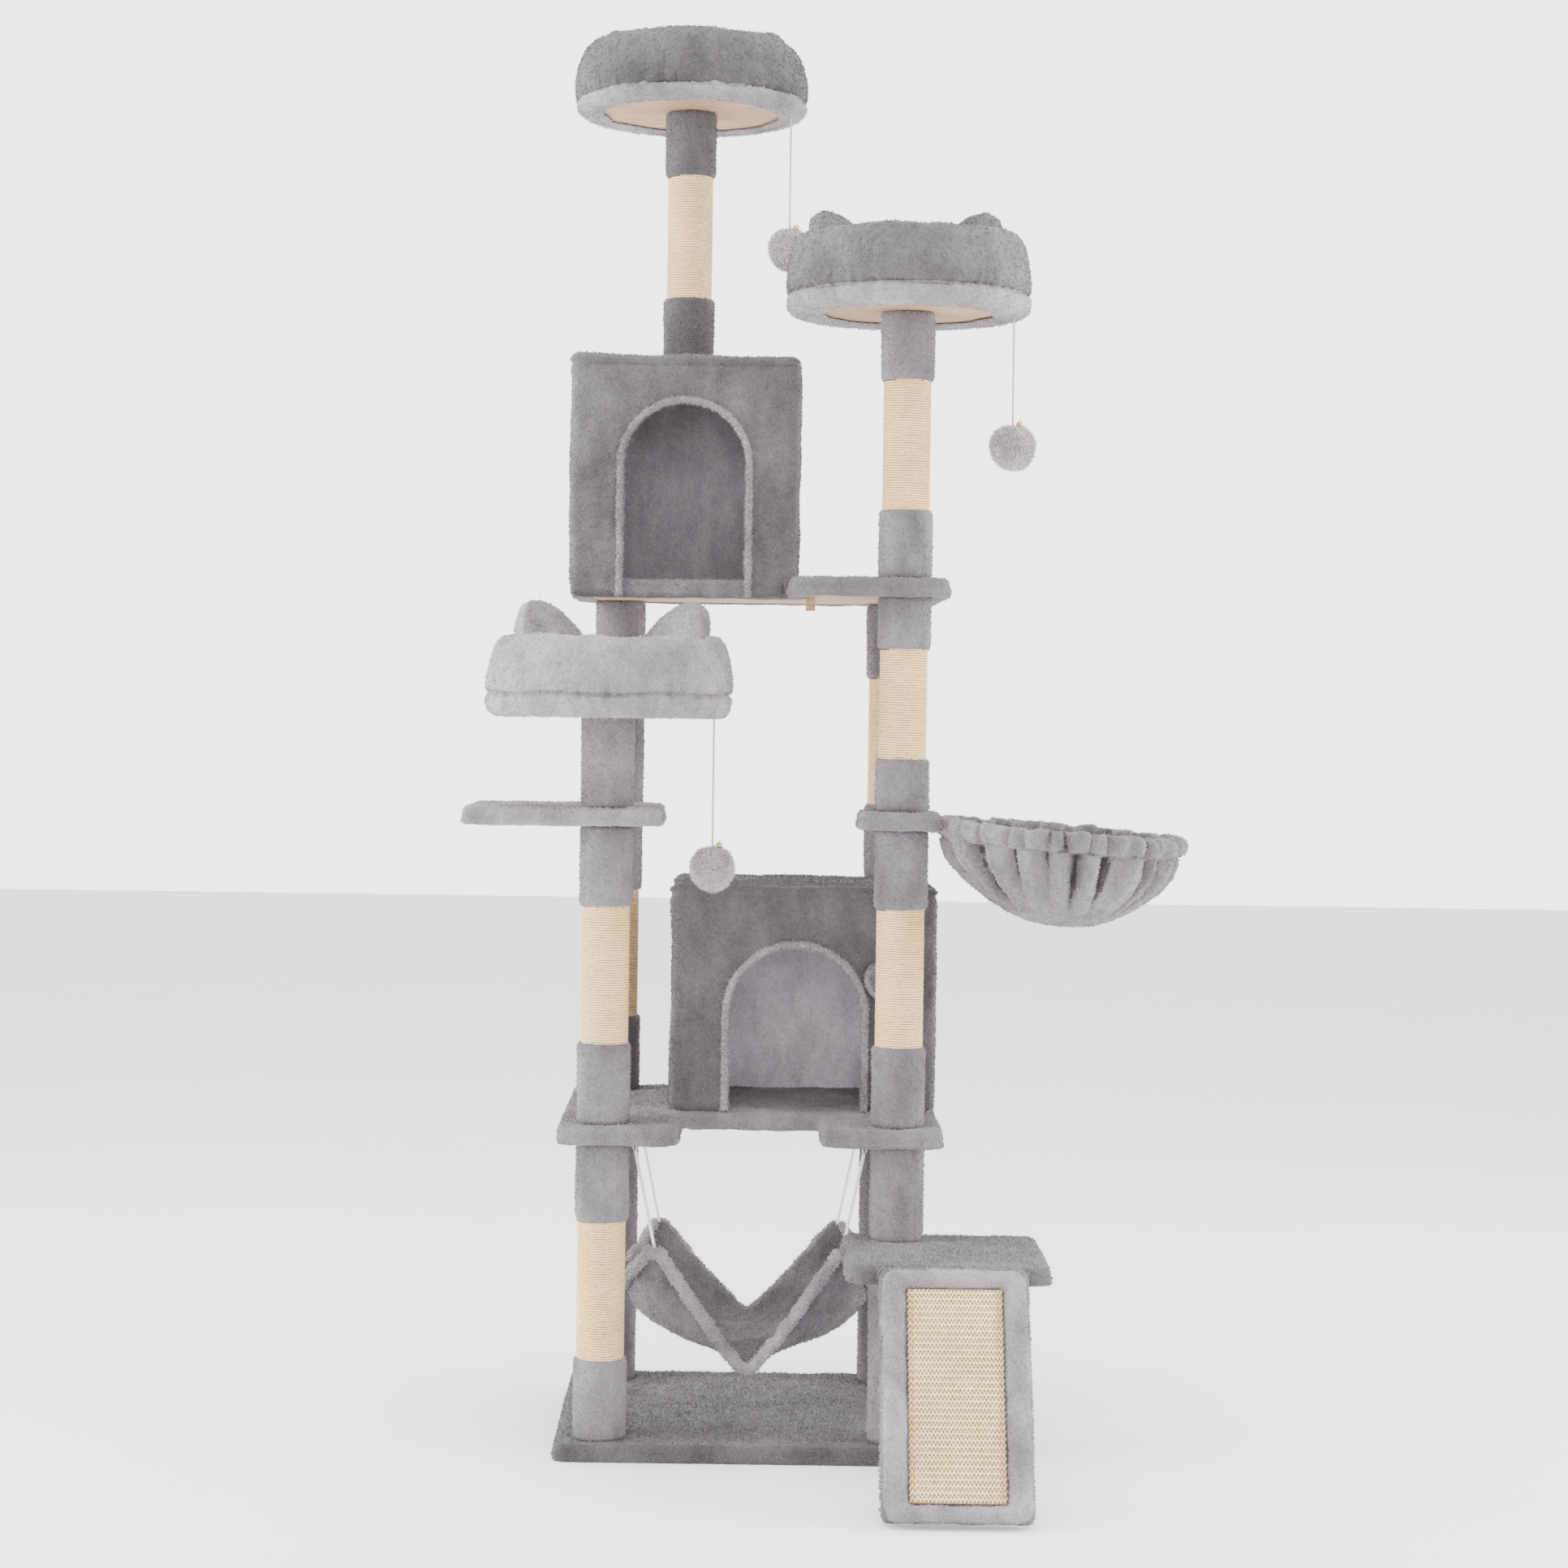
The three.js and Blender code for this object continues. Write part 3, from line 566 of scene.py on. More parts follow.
def grow_pile(made, body="tree", seed=1, spots=PILE_SPOTS, length=PILE_LENGTH,
              width=PILE_WIDTH, material=None, seen=None):
    """Grows tufts on a piece, or on the part of it whose faces pass the test called seen."""
    source = seen_part(made.data, seen) if seen else made.data
    nap = pile.run(made.name + "_pile", source, Density=float(spots), Length=length,
                   Width=width, Lean=PILE_LEAN, Seed=seed, Material=material or plush_pile)
    above_floor(nap.data)
    mount(nap, body)
    print(nap.name, len(nap.data.polygons), "faces")
    return nap


def not_underneath(_, normal):
    return normal.z > -0.6


# %% [markdown]
# ## Boards
# Each board is plywood wrapped in plush that is stapled underneath, so its edges are round and soft
# and a rim of plush shows round the bare wood below. The wrap could be modelled as a bent sheet.
# It is simpler to melt cover and core into one soft block and hollow the block's underside a
# little: the plywood of the CAD core then shows through.

# %% Plush boards
VOXEL = 0.0052
WRAP = 0.030 # plush turned under a board's edge
WRAP_THICK = 0.0012 # how far the wrap hangs below the board
HOLLOW = 0.0045 # lifts the cover's underside into the board, out of sight
SKIRT = 0.0028 # how far the cover stands out at the board's bottom edge
CLEAR_OF_BOARD = 0.0007 # keeps the smoothed cover outside the board's sharp edges


def melted(name, nodes, rounds, material, voxel=VOXEL):
    made = piece(name, solid_copy(name, nodes), material)
    return shaped(made, ("REMESH", {"mode": "VOXEL", "voxel_size": voxel}),
                  ("SMOOTH", {"factor": 0.5, "iterations": rounds}))


def hollow_under(mesh, floor):
    """Lifts the underside, except a rim of irregular width along the edge."""
    points = points_of(mesh)
    normals = normals_of(mesh)
    rim = np.where((np.abs(normals[:, 2]) < 0.6) & (points[:, 2] < floor + 0.012))[0]
    tree = KDTree(len(rim))
    for slot_index, vertex in enumerate(rim):
        tree.insert((points[vertex, 0], points[vertex, 1], 0), slot_index)
    tree.balance()
    for i in np.where(normals[:, 2] < -0.6)[0]:
        flat = Vector((points[i, 0], points[i, 1], 0))
        width = WRAP + 0.008 * noise.noise(flat * 22)
        inside = tree.find(flat)[2] > width
        points[i, 2] += HOLLOW if inside else -WRAP_THICK
    set_points(mesh, points)


def skirt(mesh, foot):
    """Draws the cover out over the bottom edge of its board, so that no bare edge shows."""
    points = points_of(mesh)
    normals = normals_of(mesh)
    low_edge = (points[:, 2] < foot + 0.009) & (normals[:, 2] > -0.97) & (normals[:, 2] < 0.3)
    away = normals[:, :2] / np.maximum(np.linalg.norm(normals[:, :2], axis=1), 1e-6)[:, None]
    points[low_edge, :2] += SKIRT * away[low_edge]
    points[low_edge, 2] -= WRAP_THICK
    set_points(mesh, points)


def plush_board(name, nodes, replaced, seed, hollow, cloth=MIDDLE):
    made = melted(name, nodes, 7, cloth[0])
    set_points(made.data, points_of(made.data) + CLEAR_OF_BOARD * normals_of(made.data))
    if name != "ramp_plush":
        skirt(made.data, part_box(nodes[0])[0].z)
    if hollow:
        hollow_under(made.data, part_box(nodes[0])[0].z)
    rumple(made.data, 0.0016, 30, seed)
    rumple(made.data, 0.0009, 120, seed + 5)
    if not hollow:
        above_floor(made.data)
    mount(made, nodes=replaced)
    grow_pile(made, seed=seed, seen=not_underneath, material=cloth[1])
    print(name, len(made.data.vertices), "points")


# The base's cover is painted shade, the step's half painted shade and the shelf's painted light.
plush_board("base_plush", ["base_cover", "base_board"], ["base_cover"], 1, False, PAINTED_SHADE)
plush_board("mid_plush", ["mid_cover", "mid_board"], ["mid_cover"], 2, True)
plush_board("upper_plush", ["upper_cover", "upper_board"], ["upper_cover"], 3, True)
plush_board("shelf_plush", ["shelf_board"], ["shelf_board"], 4, False, PAINTED_LIGHT)
plush_board("step_plush", ["step_board"], ["step_board"], 5, False, HALF_PAINTED_SHADE)

# %% [markdown]
# ## Posts
# A post is a cardboard tube in a plush sleeve with one butted seam down its length. Long posts are
# bare in the middle, where sisal is wound on. The plush is made ring by ring, so that its ends can
# turn in and its seam can sink.

# %% Plush sleeves
POSTS = [name for name in frame["nodes"] if "_post" in name and not name.endswith("_sisal")]
POST_SIDES = 64
RING_STEP = 0.005
SEAM_ANGLE = math.radians(-52)
SEAM_DEPTH, SEAM_REACH = 0.0016, 0.05 # the seam's depth and its half width as an angle
END_DEPTH, END_REACH = 0.0028, 0.006 # how the plush turns in at its ends
DENT = 0.0011


def sleeve_rings(x, y, foot, head, radius, seed):
    heights = np.linspace(foot, head, max(4, round((head - foot) / RING_STEP)))
    rings = []
    for z in heights:
        from_end = min(z - foot, head - z)
        turned_in = END_DEPTH * max(0.0, 1 - from_end / END_REACH) ** 2
        ring = []
        for turn in np.linspace(0, 2 * math.pi, POST_SIDES, endpoint=False):
            off = (turn - SEAM_ANGLE + math.pi) % (2 * math.pi) - math.pi
            seam = SEAM_DEPTH * math.exp(-(off / SEAM_REACH) ** 2)
            here = Vector((math.cos(turn) * 1.6, math.sin(turn) * 1.6, z * 14 + seed))
            dent = DENT * noise.noise(here)
            r = radius - turned_in - seam + dent
            ring.append((x + r * math.cos(turn), y + r * math.sin(turn), z))
        rings.append(ring)
    return np.array(rings)


def joined(name, meshes):
    """One mesh made of several."""
    work = bmesh.new()
    for mesh in meshes:
        work.from_mesh(mesh)
    whole = bpy.data.meshes.new(name)
    work.to_mesh(whole)
    work.free()
    return whole


for seed, post in enumerate(sorted(POSTS)):
    low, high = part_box(post)
    x, y = middle(post).xy
    radius = (high.x - low.x) / 2
    stretches = [(low.z, high.z)]
    if post + "_sisal" in frame["nodes"]:
        sleeve_low, sleeve_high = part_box(post + "_sisal")
        stretches = [(low.z, sleeve_low.z + 0.002), (sleeve_high.z - 0.002, high.z)]
    sleeves = [outward(grid(post, sleeve_rings(x, y, foot, head, radius, seed * 3 + n)))
               for n, (foot, head) in enumerate(stretches)]
    # The high post's sleeves are painted shade.
    cloth, nap = PAINTED_SHADE if post.startswith("high") else MIDDLE
    made = piece(post + "_plush", joined(post, sleeves), cloth)
    mount(made, nodes=[post])
    grow_pile(made, seed=20 + seed, length=0.0026, material=nap)
print("plush sleeves:", len(POSTS))

# %% [markdown]
# The sisal is one rope wound round and round. Its shape follows a rule, so Geometry Nodes draw a
# helix from the post's radius, height and rope size, and sweep a small circle along it. Plain noise
# moves the rope by a fraction of a millimetre, because no one winds it perfectly.

# %% Wound sisal
ROPE = 0.0017 # half the rope's thickness
PITCH = 2.14 # one turn's height, in half thicknesses
WANDER = 0.0011 # how far the rope strays from its place
BACKING_R = 0.0332 # what shows between the turns


def winding_tree():
    made = Tree("winding", Radius=0.034, Height=0.2, Rope=ROPE, Material=None)
    turns = made.math("DIVIDE", made.given["Height"], made.math("MULTIPLY", made.given["Rope"], PITCH))
    helix = made.add("GeometryNodeCurveSpiral", {
        "Rotations": turns, "Start Radius": made.given["Radius"], "End Radius": made.given["Radius"],
        "Height": made.given["Height"]}, Resolution=26)
    jitter = made.add("ShaderNodeTexNoise", Scale=130.0)
    centred = made.add("ShaderNodeVectorMath", {0: jitter.outputs["Color"]}, operation="SUBTRACT")
    centred.inputs[1].default_value = (0.5, 0.5, 0.5)
    small = made.add("ShaderNodeVectorMath", {0: centred.outputs[0]}, operation="SCALE")
    small.inputs["Scale"].default_value = WANDER
    wobbly = made.add("GeometryNodeSetPosition", {"Geometry": helix.outputs["Curve"],
                                                  "Offset": small.outputs[0]})
    section = made.add("GeometryNodeCurvePrimitiveCircle", {"Radius": made.given["Rope"]}, Resolution=6)
    rope = made.add("GeometryNodeCurveToMesh", {
        "Curve": wobbly.outputs["Geometry"], "Profile Curve": section.outputs["Curve"]})
    rope.inputs["Fill Caps"].default_value = True
    made.finish(rope.outputs["Mesh"])
    return made


winding = winding_tree()
empty_mesh = bpy.data.meshes.new("no_points")
for post in sorted(POSTS):
    sleeve = post + "_sisal"
    if sleeve not in frame["nodes"]:
        continue
    low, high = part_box(sleeve)
    x, y = middle(sleeve).xy
    height = high.z - low.z
    made = winding.run(post + "_rope", empty_mesh, Radius=(high.x - low.x) / 2 - ROPE,
                       Height=height - 2 * ROPE, Rope=ROPE, Material=sisal)
    backing = tube(post, [(0, 0, 0), (0, 0, height - 2 * ROPE)], BACKING_R, 32)
    made.data = joined(made.name, [made.data, backing])
    made.data.transform(Matrix.Translation((x, y, low.z + ROPE)))
    made.data.materials.clear()
    made.data.materials.append(sisal)
    made.data.materials.append(shade)
    turns = len(made.data.polygons) - len(backing.polygons)
    made.data.polygons.foreach_set("material_index", [0] * turns + [1] * len(backing.polygons))
    made.data.polygons.foreach_set("use_smooth", [True] * len(made.data.polygons))
    mount(made, nodes=[sleeve])
    print(made.name, len(made.data.polygons), "faces")

# %% [markdown]
# ## Condos
# A condo is a plywood box pulled over with plush, so its corners are full and round. Its body and
# its front panel are melted together, since the real cover runs over both. A seam runs round the
# roof's edge, and a fat fur piping edges the arch and the heart-shaped window.

# %% Condo covers
CORNER = 0.022 # radius of the body's edges at the back
COVER_ROUND = 0.013 # radius of the cover's edges
COVER_SKIN = 0.006 # what lies deeper than this under the outside is lining
SUNK = 0.010 # how far the walls go on into the board's nap
ROOF_SEAM = 0.015 # below the roof


def sink_roof_seam(mesh, roof):
    """Sinks a seam round the walls below the roof, with the cloth swelling a little under it."""
    points = points_of(mesh)
    normals = normals_of(mesh)
    wall = np.abs(normals[:, 2]) < 0.5
    below = roof - ROOF_SEAM - points[:, 2]
    depth = 0.0045 * np.exp(-(below / 0.0032) ** 2) * wall
    swell = 0.0022 * np.exp(-((below + 0.008) / 0.006) ** 2) * wall
    set_points(mesh, points + normals * (swell - depth)[:, None])


def round_box(points, low, high, radius):
    """Draws points beyond a rounded box onto its round edges."""
    centre, half = (low + high) / 2, (high - low) / 2 - radius
    off = points - centre
    past = np.maximum(np.abs(off) - half, 0)
    far = np.linalg.norm(past, axis=1)
    pull = np.minimum(1, radius / np.maximum(far, 1e-9))[:, None]
    return centre + np.sign(off) * (np.minimum(np.abs(off), half) + past * pull)


def condo_cover(name, seed, cloth):
    body, front = f"{name}_condo_body", f"{name}_condo_front"
    made = melted(f"{name}_condo_cover", [body, front], 9, cloth[0])
    low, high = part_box(body)
    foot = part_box(front)[0].z
    raw = points_of(made.data)
    corner_low = np.array([low.x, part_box(front)[0].y, foot])
    points = round_box(raw, corner_low, np.array(high), COVER_ROUND)
    sunk = (raw[:, 2] < low.z + 0.013) & (raw[:, 2] > low.z - 0.006) & (raw[:, 1] > low.y + 0.002)
    down = np.array([0, 0, SUNK])
    points[sunk] = round_box(raw[sunk] - down, corner_low - 3 * down, np.array(high), COVER_ROUND)
    set_points(made.data, points)
    sink_roof_seam(made.data, high.z)
    rumple(made.data, 0.004, 12, seed)
    rumple(made.data, 0.0014, 80, seed + 3)
    # Faces behind the outer cloth take the painted-light lining.
    made.data.materials.append(lining[name])

    def inside(place):
        """Whether a place lies behind the outer cloth, also at the round corners at the back."""
        side, back = min(place.x - low.x, high.x - place.x), high.y - place.y
        depth = min(side, back)
        if side < CORNER and back < CORNER:
            depth = CORNER - math.hypot(CORNER - side, CORNER - back)
        return depth > COVER_SKIN and place.y > low.y - 0.005 and place.z < high.z - COVER_SKIN

    for face in made.data.polygons:
        face.material_index = 1 if inside(face.center) else 0
    mount(made, nodes=[body, front])
    grow_pile(made, seed=seed, material=cloth[1],
              seen=lambda place, normal: normal.z > -0.6 and not inside(place))
    print(made.name, len(made.data.vertices), "points, foot at", round(foot, 3))


# The lower condo's cover is painted shade and the upper one's half painted shade.
condo_cover("lower", 41, PAINTED_SHADE)
condo_cover("upper", 42, HALF_PAINTED_SHADE)

# Where the upper board's step begins, the cover's hanging edge is tucked in as a small fold, half painted
# shade like the upper cover.
FOLD = (0.0438, -0.061)
FOLD_R = 0.0066
board_low, board_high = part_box("upper_board")
fold_line = resampled([(*FOLD, board_low.z - 0.001), (*FOLD, board_high.z + 0.007)], 0.003)
tuck = piece("upper_tuck", tube("upper_tuck", fold_line, FOLD_R, 12), HALF_PAINTED_SHADE[0])
mount(tuck)
grow_pile(tuck, seed=44, material=HALF_PAINTED_SHADE[1])

# %% [markdown]
# The piping is a thin fur roll sewn round each opening. Its path is worked out from the opening's
# own width and height, and its tufts are longer and denser than the nap beside it.

# %% Fur piping
PIPING = 0.0052 # radius of the roll round an arch
HEART_PIPING = 0.0036


def fur_piping(name, path, radius, closed, seed):
    # The roll's cloth is painted light.
    made = piece(name, tube(name, resampled(path, 0.004), radius, 12, closed), PAINTED_LIGHT[0])
    rumple(made.data, 0.0014, 110, seed)
    mount(made)
    grow_pile(made, seed=seed, spots=170000, length=0.0042, material=MIDDLE[1])


def arch_path(x, y, foot, floor, width, height):
    spring = floor + height - width / 2
    half = width / 2 + PIPING * 0.7
    bend = [(x + half * math.cos(t), y, spring + half * math.sin(t)) for t in np.linspace(0, math.pi, 40)]
    return [(x + half, y, foot + 0.003), *bend, (x - half, y, foot + 0.003)]


def heart_path(x, y, z, width):
    line = []
    for t in np.linspace(0, 2 * math.pi, 72, endpoint=False):
        across = math.sin(t) ** 3
        up = (13 * math.cos(t) - 5 * math.cos(2 * t) - 2 * math.cos(3 * t) - math.cos(4 * t)) / 16
        line.append((x + across * width / 2, y, z + up * width / 2))
    return line


# An arch's middle, its width and its height over the floor.
LOWER_ARCH = (0.066, 0.204, 0.250)
UPPER_ARCH = (middle("upper_condo_front").x, 0.188, 0.268)
HEART_X, HEART_WIDTH, HEART_UP = 0.212, 0.078, 0.192
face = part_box("lower_condo_front")[0].y + 0.001


def pipe_arch(name, arch, seed):
    arch_x, width, height = arch
    foot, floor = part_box(f"{name}_condo_front")[0].z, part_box(f"{name}_condo_body")[0].z
    path = arch_path(arch_x, face, foot, floor, width, height)
    fur_piping(f"{name}_arch_piping", path, PIPING, False, seed)


pipe_arch("lower", LOWER_ARCH, 51)
heart_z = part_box("lower_condo_body")[0].z + HEART_UP
fur_piping("heart_piping", heart_path(HEART_X, face, heart_z, HEART_WIDTH), HEART_PIPING, True, 52)
pipe_arch("upper", UPPER_ARCH, 53)

# %% [markdown]
# ## Beds
# A bed is a padded ring on a plywood disc. The ring's cover is turned under the disc and stapled,
# which leaves a rough circle of bare wood. The wall is a tube of cloth blown full of stuffing, so it
# is made from its sewn profile and then puffed up by a cloth simulation with pressure inside. The
# three beds are sewn alike, so one is simulated and each copy gets its own creases.

# %% One bed's cover
BED_SIDES = 142
BED_PROFILE = [
    (0.0, 0.0127), (0.1740, 0.0127), (0.1738, 0.0030), (0.1700, -0.0008), (0.1310, -0.0008),
    (0.1285, -0.0024), (0.1320, -0.0048), (0.1660, -0.0062), (0.1765, 0.0010), (0.1795, 0.0110),
    (0.1790, 0.0210), (0.1775, 0.0240), (0.1792, 0.0270), (0.1800, 0.0450), (0.1762, 0.0720),
    (0.1700, 0.0940), (0.1600, 0.1085), (0.1480, 0.1110), (0.1370, 0.1010), (0.1290, 0.0780),
    (0.1260, 0.0450), (0.1230, 0.0250), (0.1150, 0.0220), (0.0, 0.0220),
]
BED_SEAM = 0.024 # over the disc's underside


def turned(name, profile, sides, step):
    """A turned solid whose profile starts and ends on the axis."""
    line = resampled(profile, step)[1:-1]
    turns = np.linspace(0, 2 * math.pi, sides, endpoint=False)
    rings = np.stack([np.outer(line[:, 0], np.cos(turns)), np.outer(line[:, 0], np.sin(turns)),
                      np.repeat(line[:, 1][:, None], sides, axis=1)], axis=2)
    mesh = grid(name, rings, caps=False)
    work = bmesh.new()
    work.from_mesh(mesh)
    work.verts.ensure_lookup_table()
    for first, (_, height) in ((0, profile[0]), (len(work.verts) - sides, profile[-1])):
        pole = work.verts.new((0, 0, height))
        work.verts.ensure_lookup_table()
        for i in range(sides):
            work.faces.new((work.verts[first + i], work.verts[first + (i + 1) % sides], pole))
    bmesh.ops.recalc_face_normals(work, faces=work.faces)
    work.to_mesh(mesh)
    work.free()
    return mesh


def puffed(made, held, pressure, cap):
    """Blows a closed cloth up. Points in held stay, and no point moves farther than cap."""
    start = points_of(made.data)
    group = made.vertex_groups.new(name="held")
    group.add([int(i) for i in held], 1.0, "REPLACE")
    cloth = made.modifiers.new("cloth", "CLOTH")
    cloth.settings.quality = 4
    cloth.settings.mass = 0.3
    cloth.settings.tension_stiffness = 12
    cloth.settings.compression_stiffness = 12
    cloth.settings.bending_stiffness = 0.6
    cloth.settings.use_pressure = True
    cloth.settings.uniform_pressure_force = pressure
    cloth.settings.vertex_group_mass = "held"
    cloth.settings.effector_weights.gravity = 0
    cloth.point_cache.frame_start = 1
    cloth.point_cache.frame_end = 20
    for step in range(1, 21):
        bpy.context.scene.frame_set(step)
    shaped(made)
    bpy.context.scene.frame_set(1)
    made.vertex_groups.clear()
    moved = points_of(made.data) - start
    far = np.linalg.norm(moved, axis=1)
    kept = np.minimum(1, cap / np.maximum(far, 1e-9))
    set_points(made.data, start + moved * kept[:, None])
    print(made.name, "puffed by", round(float(far.max()) * 1000, 1), "mm before the cap")


pattern = piece("bed_pattern", turned("bed_pattern", BED_PROFILE, BED_SIDES, 0.0060), plush)
bed_points = points_of(pattern.data)
from_axis = np.linalg.norm(bed_points[:, :2], axis=1)
near_seam = np.abs(bed_points[:, 2] - BED_SEAM) < 0.003
underneath = bed_points[:, 2] < 0.014
held = underneath | (from_axis < 0.118) | (near_seam & (from_axis > 0.15))
puffed(pattern, np.where(held)[0], pressure=3.5, cap=0.009)

# %% [markdown]
# Every copy is creased in its own way: long soft dents round the wall, short puckers along the seam
# and a wavy edge where the cover is stapled underneath.

# %% Three beds


BED_DENT, BED_PUCKER, BED_SEAM_DEPTH = 0.0055, 0.0050, 0.0070


def crease_bed(mesh, seed, seam_height, hole, tall, taper):
    """Gives one bed its own height, lean, dents, puckers, seam and stapled edge."""
    points = points_of(mesh)
    above = np.maximum(points[:, 2] - 0.03, 0)
    points[:, :2] *= (1 - taper * above / 0.08)[:, None]
    points[:, 2] -= (1 - tall) * above
    normals = normals_of(mesh)
    r = np.linalg.norm(points[:, :2], axis=1)
    turn = np.arctan2(points[:, 1], points[:, 0])
    depth = np.zeros(len(points))
    for i, (x, y, z) in enumerate(points):
        here = Vector((math.cos(turn[i]), math.sin(turn[i]), 0))
        dents = noise.noise(here * 2.6 + Vector((seed, 0, z * 9)))
        puckers = noise.noise(here * 17 + Vector((0, seed, z * 6)))
        near = math.exp(-((z - seam_height) / 0.013) ** 2) if r[i] > 0.15 else 0.0
        depth[i] = BED_DENT * dents * min(1, max(0, z) / 0.05) + BED_PUCKER * near * puckers
    wavy = seam_height + 0.0015 * np.sin(turn * 7 + seed)
    seam = BED_SEAM_DEPTH * np.exp(-((points[:, 2] - wavy) / 0.0028) ** 2) * (r > 0.16)
    points = points + normals * (depth - seam)[:, None]
    inner = (points[:, 2] < 0.001) & (r < 0.15)
    for i in np.where(inner)[0]:
        here = Vector((math.cos(turn[i]), math.sin(turn[i]), seed * 3.1))
        points[i, :2] *= hole + 0.05 * noise.noise(here * 3.2)
    set_points(mesh, points)
    rumple(mesh, 0.0011, 110, seed)


EAR_TURN = math.radians(41)
EAR_LEAN = math.radians(17)
EAR_HALF = 0.0095 # half its thickness before it is padded
EAR_REACH, EAR_RISE = 0.1555, 0.1055 # from the bed's axis and over its disc
EAR_CURVE = 3.2 # it follows the rim by this much of the square of its width
EAR_BACK = 0.77 # and its tip bends back
EAR_OUTLINE = [(-0.064, -0.034), (0.064, -0.034), (0.057, 0.004), (0.043, 0.033), (0.026, 0.055),
               (0.010, 0.064), (-0.010, 0.064), (-0.026, 0.055), (-0.043, 0.033), (-0.057, 0.004)]


def ear_mesh(name, hand, seed):
    """A padded triangle that follows the rim's curve and leans outwards."""
    work = bmesh.new()
    front = [work.verts.new((x, -EAR_HALF, z)) for x, z in EAR_OUTLINE]
    back = [work.verts.new((x, EAR_HALF, z)) for x, z in EAR_OUTLINE]
    work.faces.new(front)
    work.faces.new(back[::-1])
    for i in range(len(front)):
        k = (i + 1) % len(front)
        work.faces.new((front[k], front[i], back[i], back[k]))
    bmesh.ops.recalc_face_normals(work, faces=work.faces)
    mesh = bpy.data.meshes.new(name)
    work.to_mesh(mesh)
    work.free()
    made = piece(name, mesh, plush)
    shaped(made, ("REMESH", {"mode": "VOXEL", "voxel_size": 0.003}),
           ("SMOOTH", {"factor": 0.5, "iterations": 4}))
    points = points_of(made.data)
    x, y, z = points.T
    fullness = np.clip(1 - (np.abs(x) / 0.062) ** 2, 0, 1) * np.clip(1 - z / 0.068, 0, 1)
    y = y + np.sign(y) * 0.005 * np.sqrt(fullness)
    y = y - EAR_CURVE * x * x + EAR_BACK * np.clip(z, 0, 1) ** 1.5
    set_points(made.data, np.stack([x, y, z], axis=1))
    rumple(made.data, 0.0014, 60, seed)
    turn = Matrix.Rotation(hand * EAR_TURN, 4, "Z")
    lean = Matrix.Rotation(-EAR_LEAN, 4, "X")
    made.data.transform(turn @ Matrix.Translation((0, EAR_REACH, EAR_RISE)) @ lean)
    return made


shaped(pattern, ("SUBSURF", {"levels": 1}))
# The seam's height, the bare hole's share, the wall's height as a share, how far it leans in at the top, its
# cloth with painted shade, half painted shade or painted light, and how much higher its ears sit.
BEDS = {"high": (0.014, 1.03, 0.90, 0.012, PAINTED_SHADE, -0.008),
        "right": (0.023, 0.95, 1.0, 0.01, HALF_PAINTED_SHADE, 0.004),
        "left": (0.027, 1.0, 1.0, 0.0, PAINTED_LIGHT, 0.002)}
for seed, name in enumerate(("high", "right", "left")):
    disc = middle(f"{name}_bed_disc")
    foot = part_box(f"{name}_bed_disc")[0].z
    place = Matrix.Translation((disc.x, disc.y, foot))
    seam_height, hole, tall, taper, cloth, ear_lift = BEDS[name]
    cover = piece(f"{name}_bed_cover", pattern.data.copy(), cloth[0])
    crease_bed(cover.data, seed + 1, seam_height, hole, tall, taper)
    cover.data.transform(place)
    # The band below the seam is painted light, cloth and nap.
    cover.data.materials.append(PAINTED_LIGHT[0])
    seam_level = foot + seam_height
    for part in cover.data.polygons:
        part.material_index = 1 if part.center.z < seam_level else 0
    mount(cover, nodes=[f"{name}_bed_wall"])
    grow_pile(cover, seed=60 + seed, material=cloth[1],
              seen=lambda at, normal: at.z > seam_level)
    band = grow_pile(cover, seed=160 + seed, material=PAINTED_LIGHT[1],
                     seen=lambda at, normal: at.z < seam_level
                     and (normal.z > -0.6 or at.z < foot + 0.004))
    band.name = f"{name}_bed_band_nap"
    for side, hand in (("left", 1), ("right", -1)):
        ear = ear_mesh(f"{name}_bed_{side}_ear", hand, 70 + seed * 2 + hand)
        ear.data.transform(Matrix.Translation((0, 0, ear_lift)) @ place)
        ear.data.materials[0] = cloth[0]
        mount(ear)
        grow_pile(ear, seed=80 + seed * 2 + hand, material=cloth[1])
    print(cover.name, len(cover.data.vertices), "points")
bpy.data.objects.remove(pattern)

# %% [markdown]
# ## Basket
# The basket is a plush pouch gathered onto a wire hoop by a casing with elastic in it. Gathers are
# a rule: many folds at the hoop that run together and fade out towards the bottom, with a deeper,
# busier ruffle above the seam. The cloth's middle surface is computed from that rule, and its two
# faces lie on either side of it.

# %% Gathered basket
HOOP_R = 0.170
BASKET_OUT = 0.234
BASKET_TILT = math.radians(4.3)
BASKET_SEAM = -0.020 # below the hoop
PLUMB_FROM = -0.018 # below this the pouch hangs plumb under the tilted hoop
FOLDS, FOLD_DEPTH = 21, 0.040
RUFFLES, RUFFLE_DEPTH = 32, 0.018
VALLEY = -0.012 # folds deeper than this are in shade
# From the pole outside, up over the hoop and down to the pole inside.
BASKET_PROFILE = [
    (0.0, -0.1335), (0.048, -0.1285), (0.078, -0.1175), (0.106, -0.101), (0.136, -0.076), (0.155, -0.050),
    (0.1640, -0.028), (0.1642, -0.021), (0.1710, -0.0175), (0.1790, -0.0095), (0.1812, -0.001),
    (0.1775, 0.0075), (0.1700, 0.0115), (0.1625, 0.008), (0.1595, -0.004), (0.1585, -0.020),
    (0.1565, -0.032), (0.1490, -0.050), (0.130, -0.074), (0.1005, -0.098), (0.074, -0.112), (0.046, -0.123),
    (0.0, -0.128)]
post_middle = middle("right_front_post_4")
hoop_z = (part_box("basket_bracket")[0].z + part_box("basket_bracket")[1].z) / 2 - 0.005


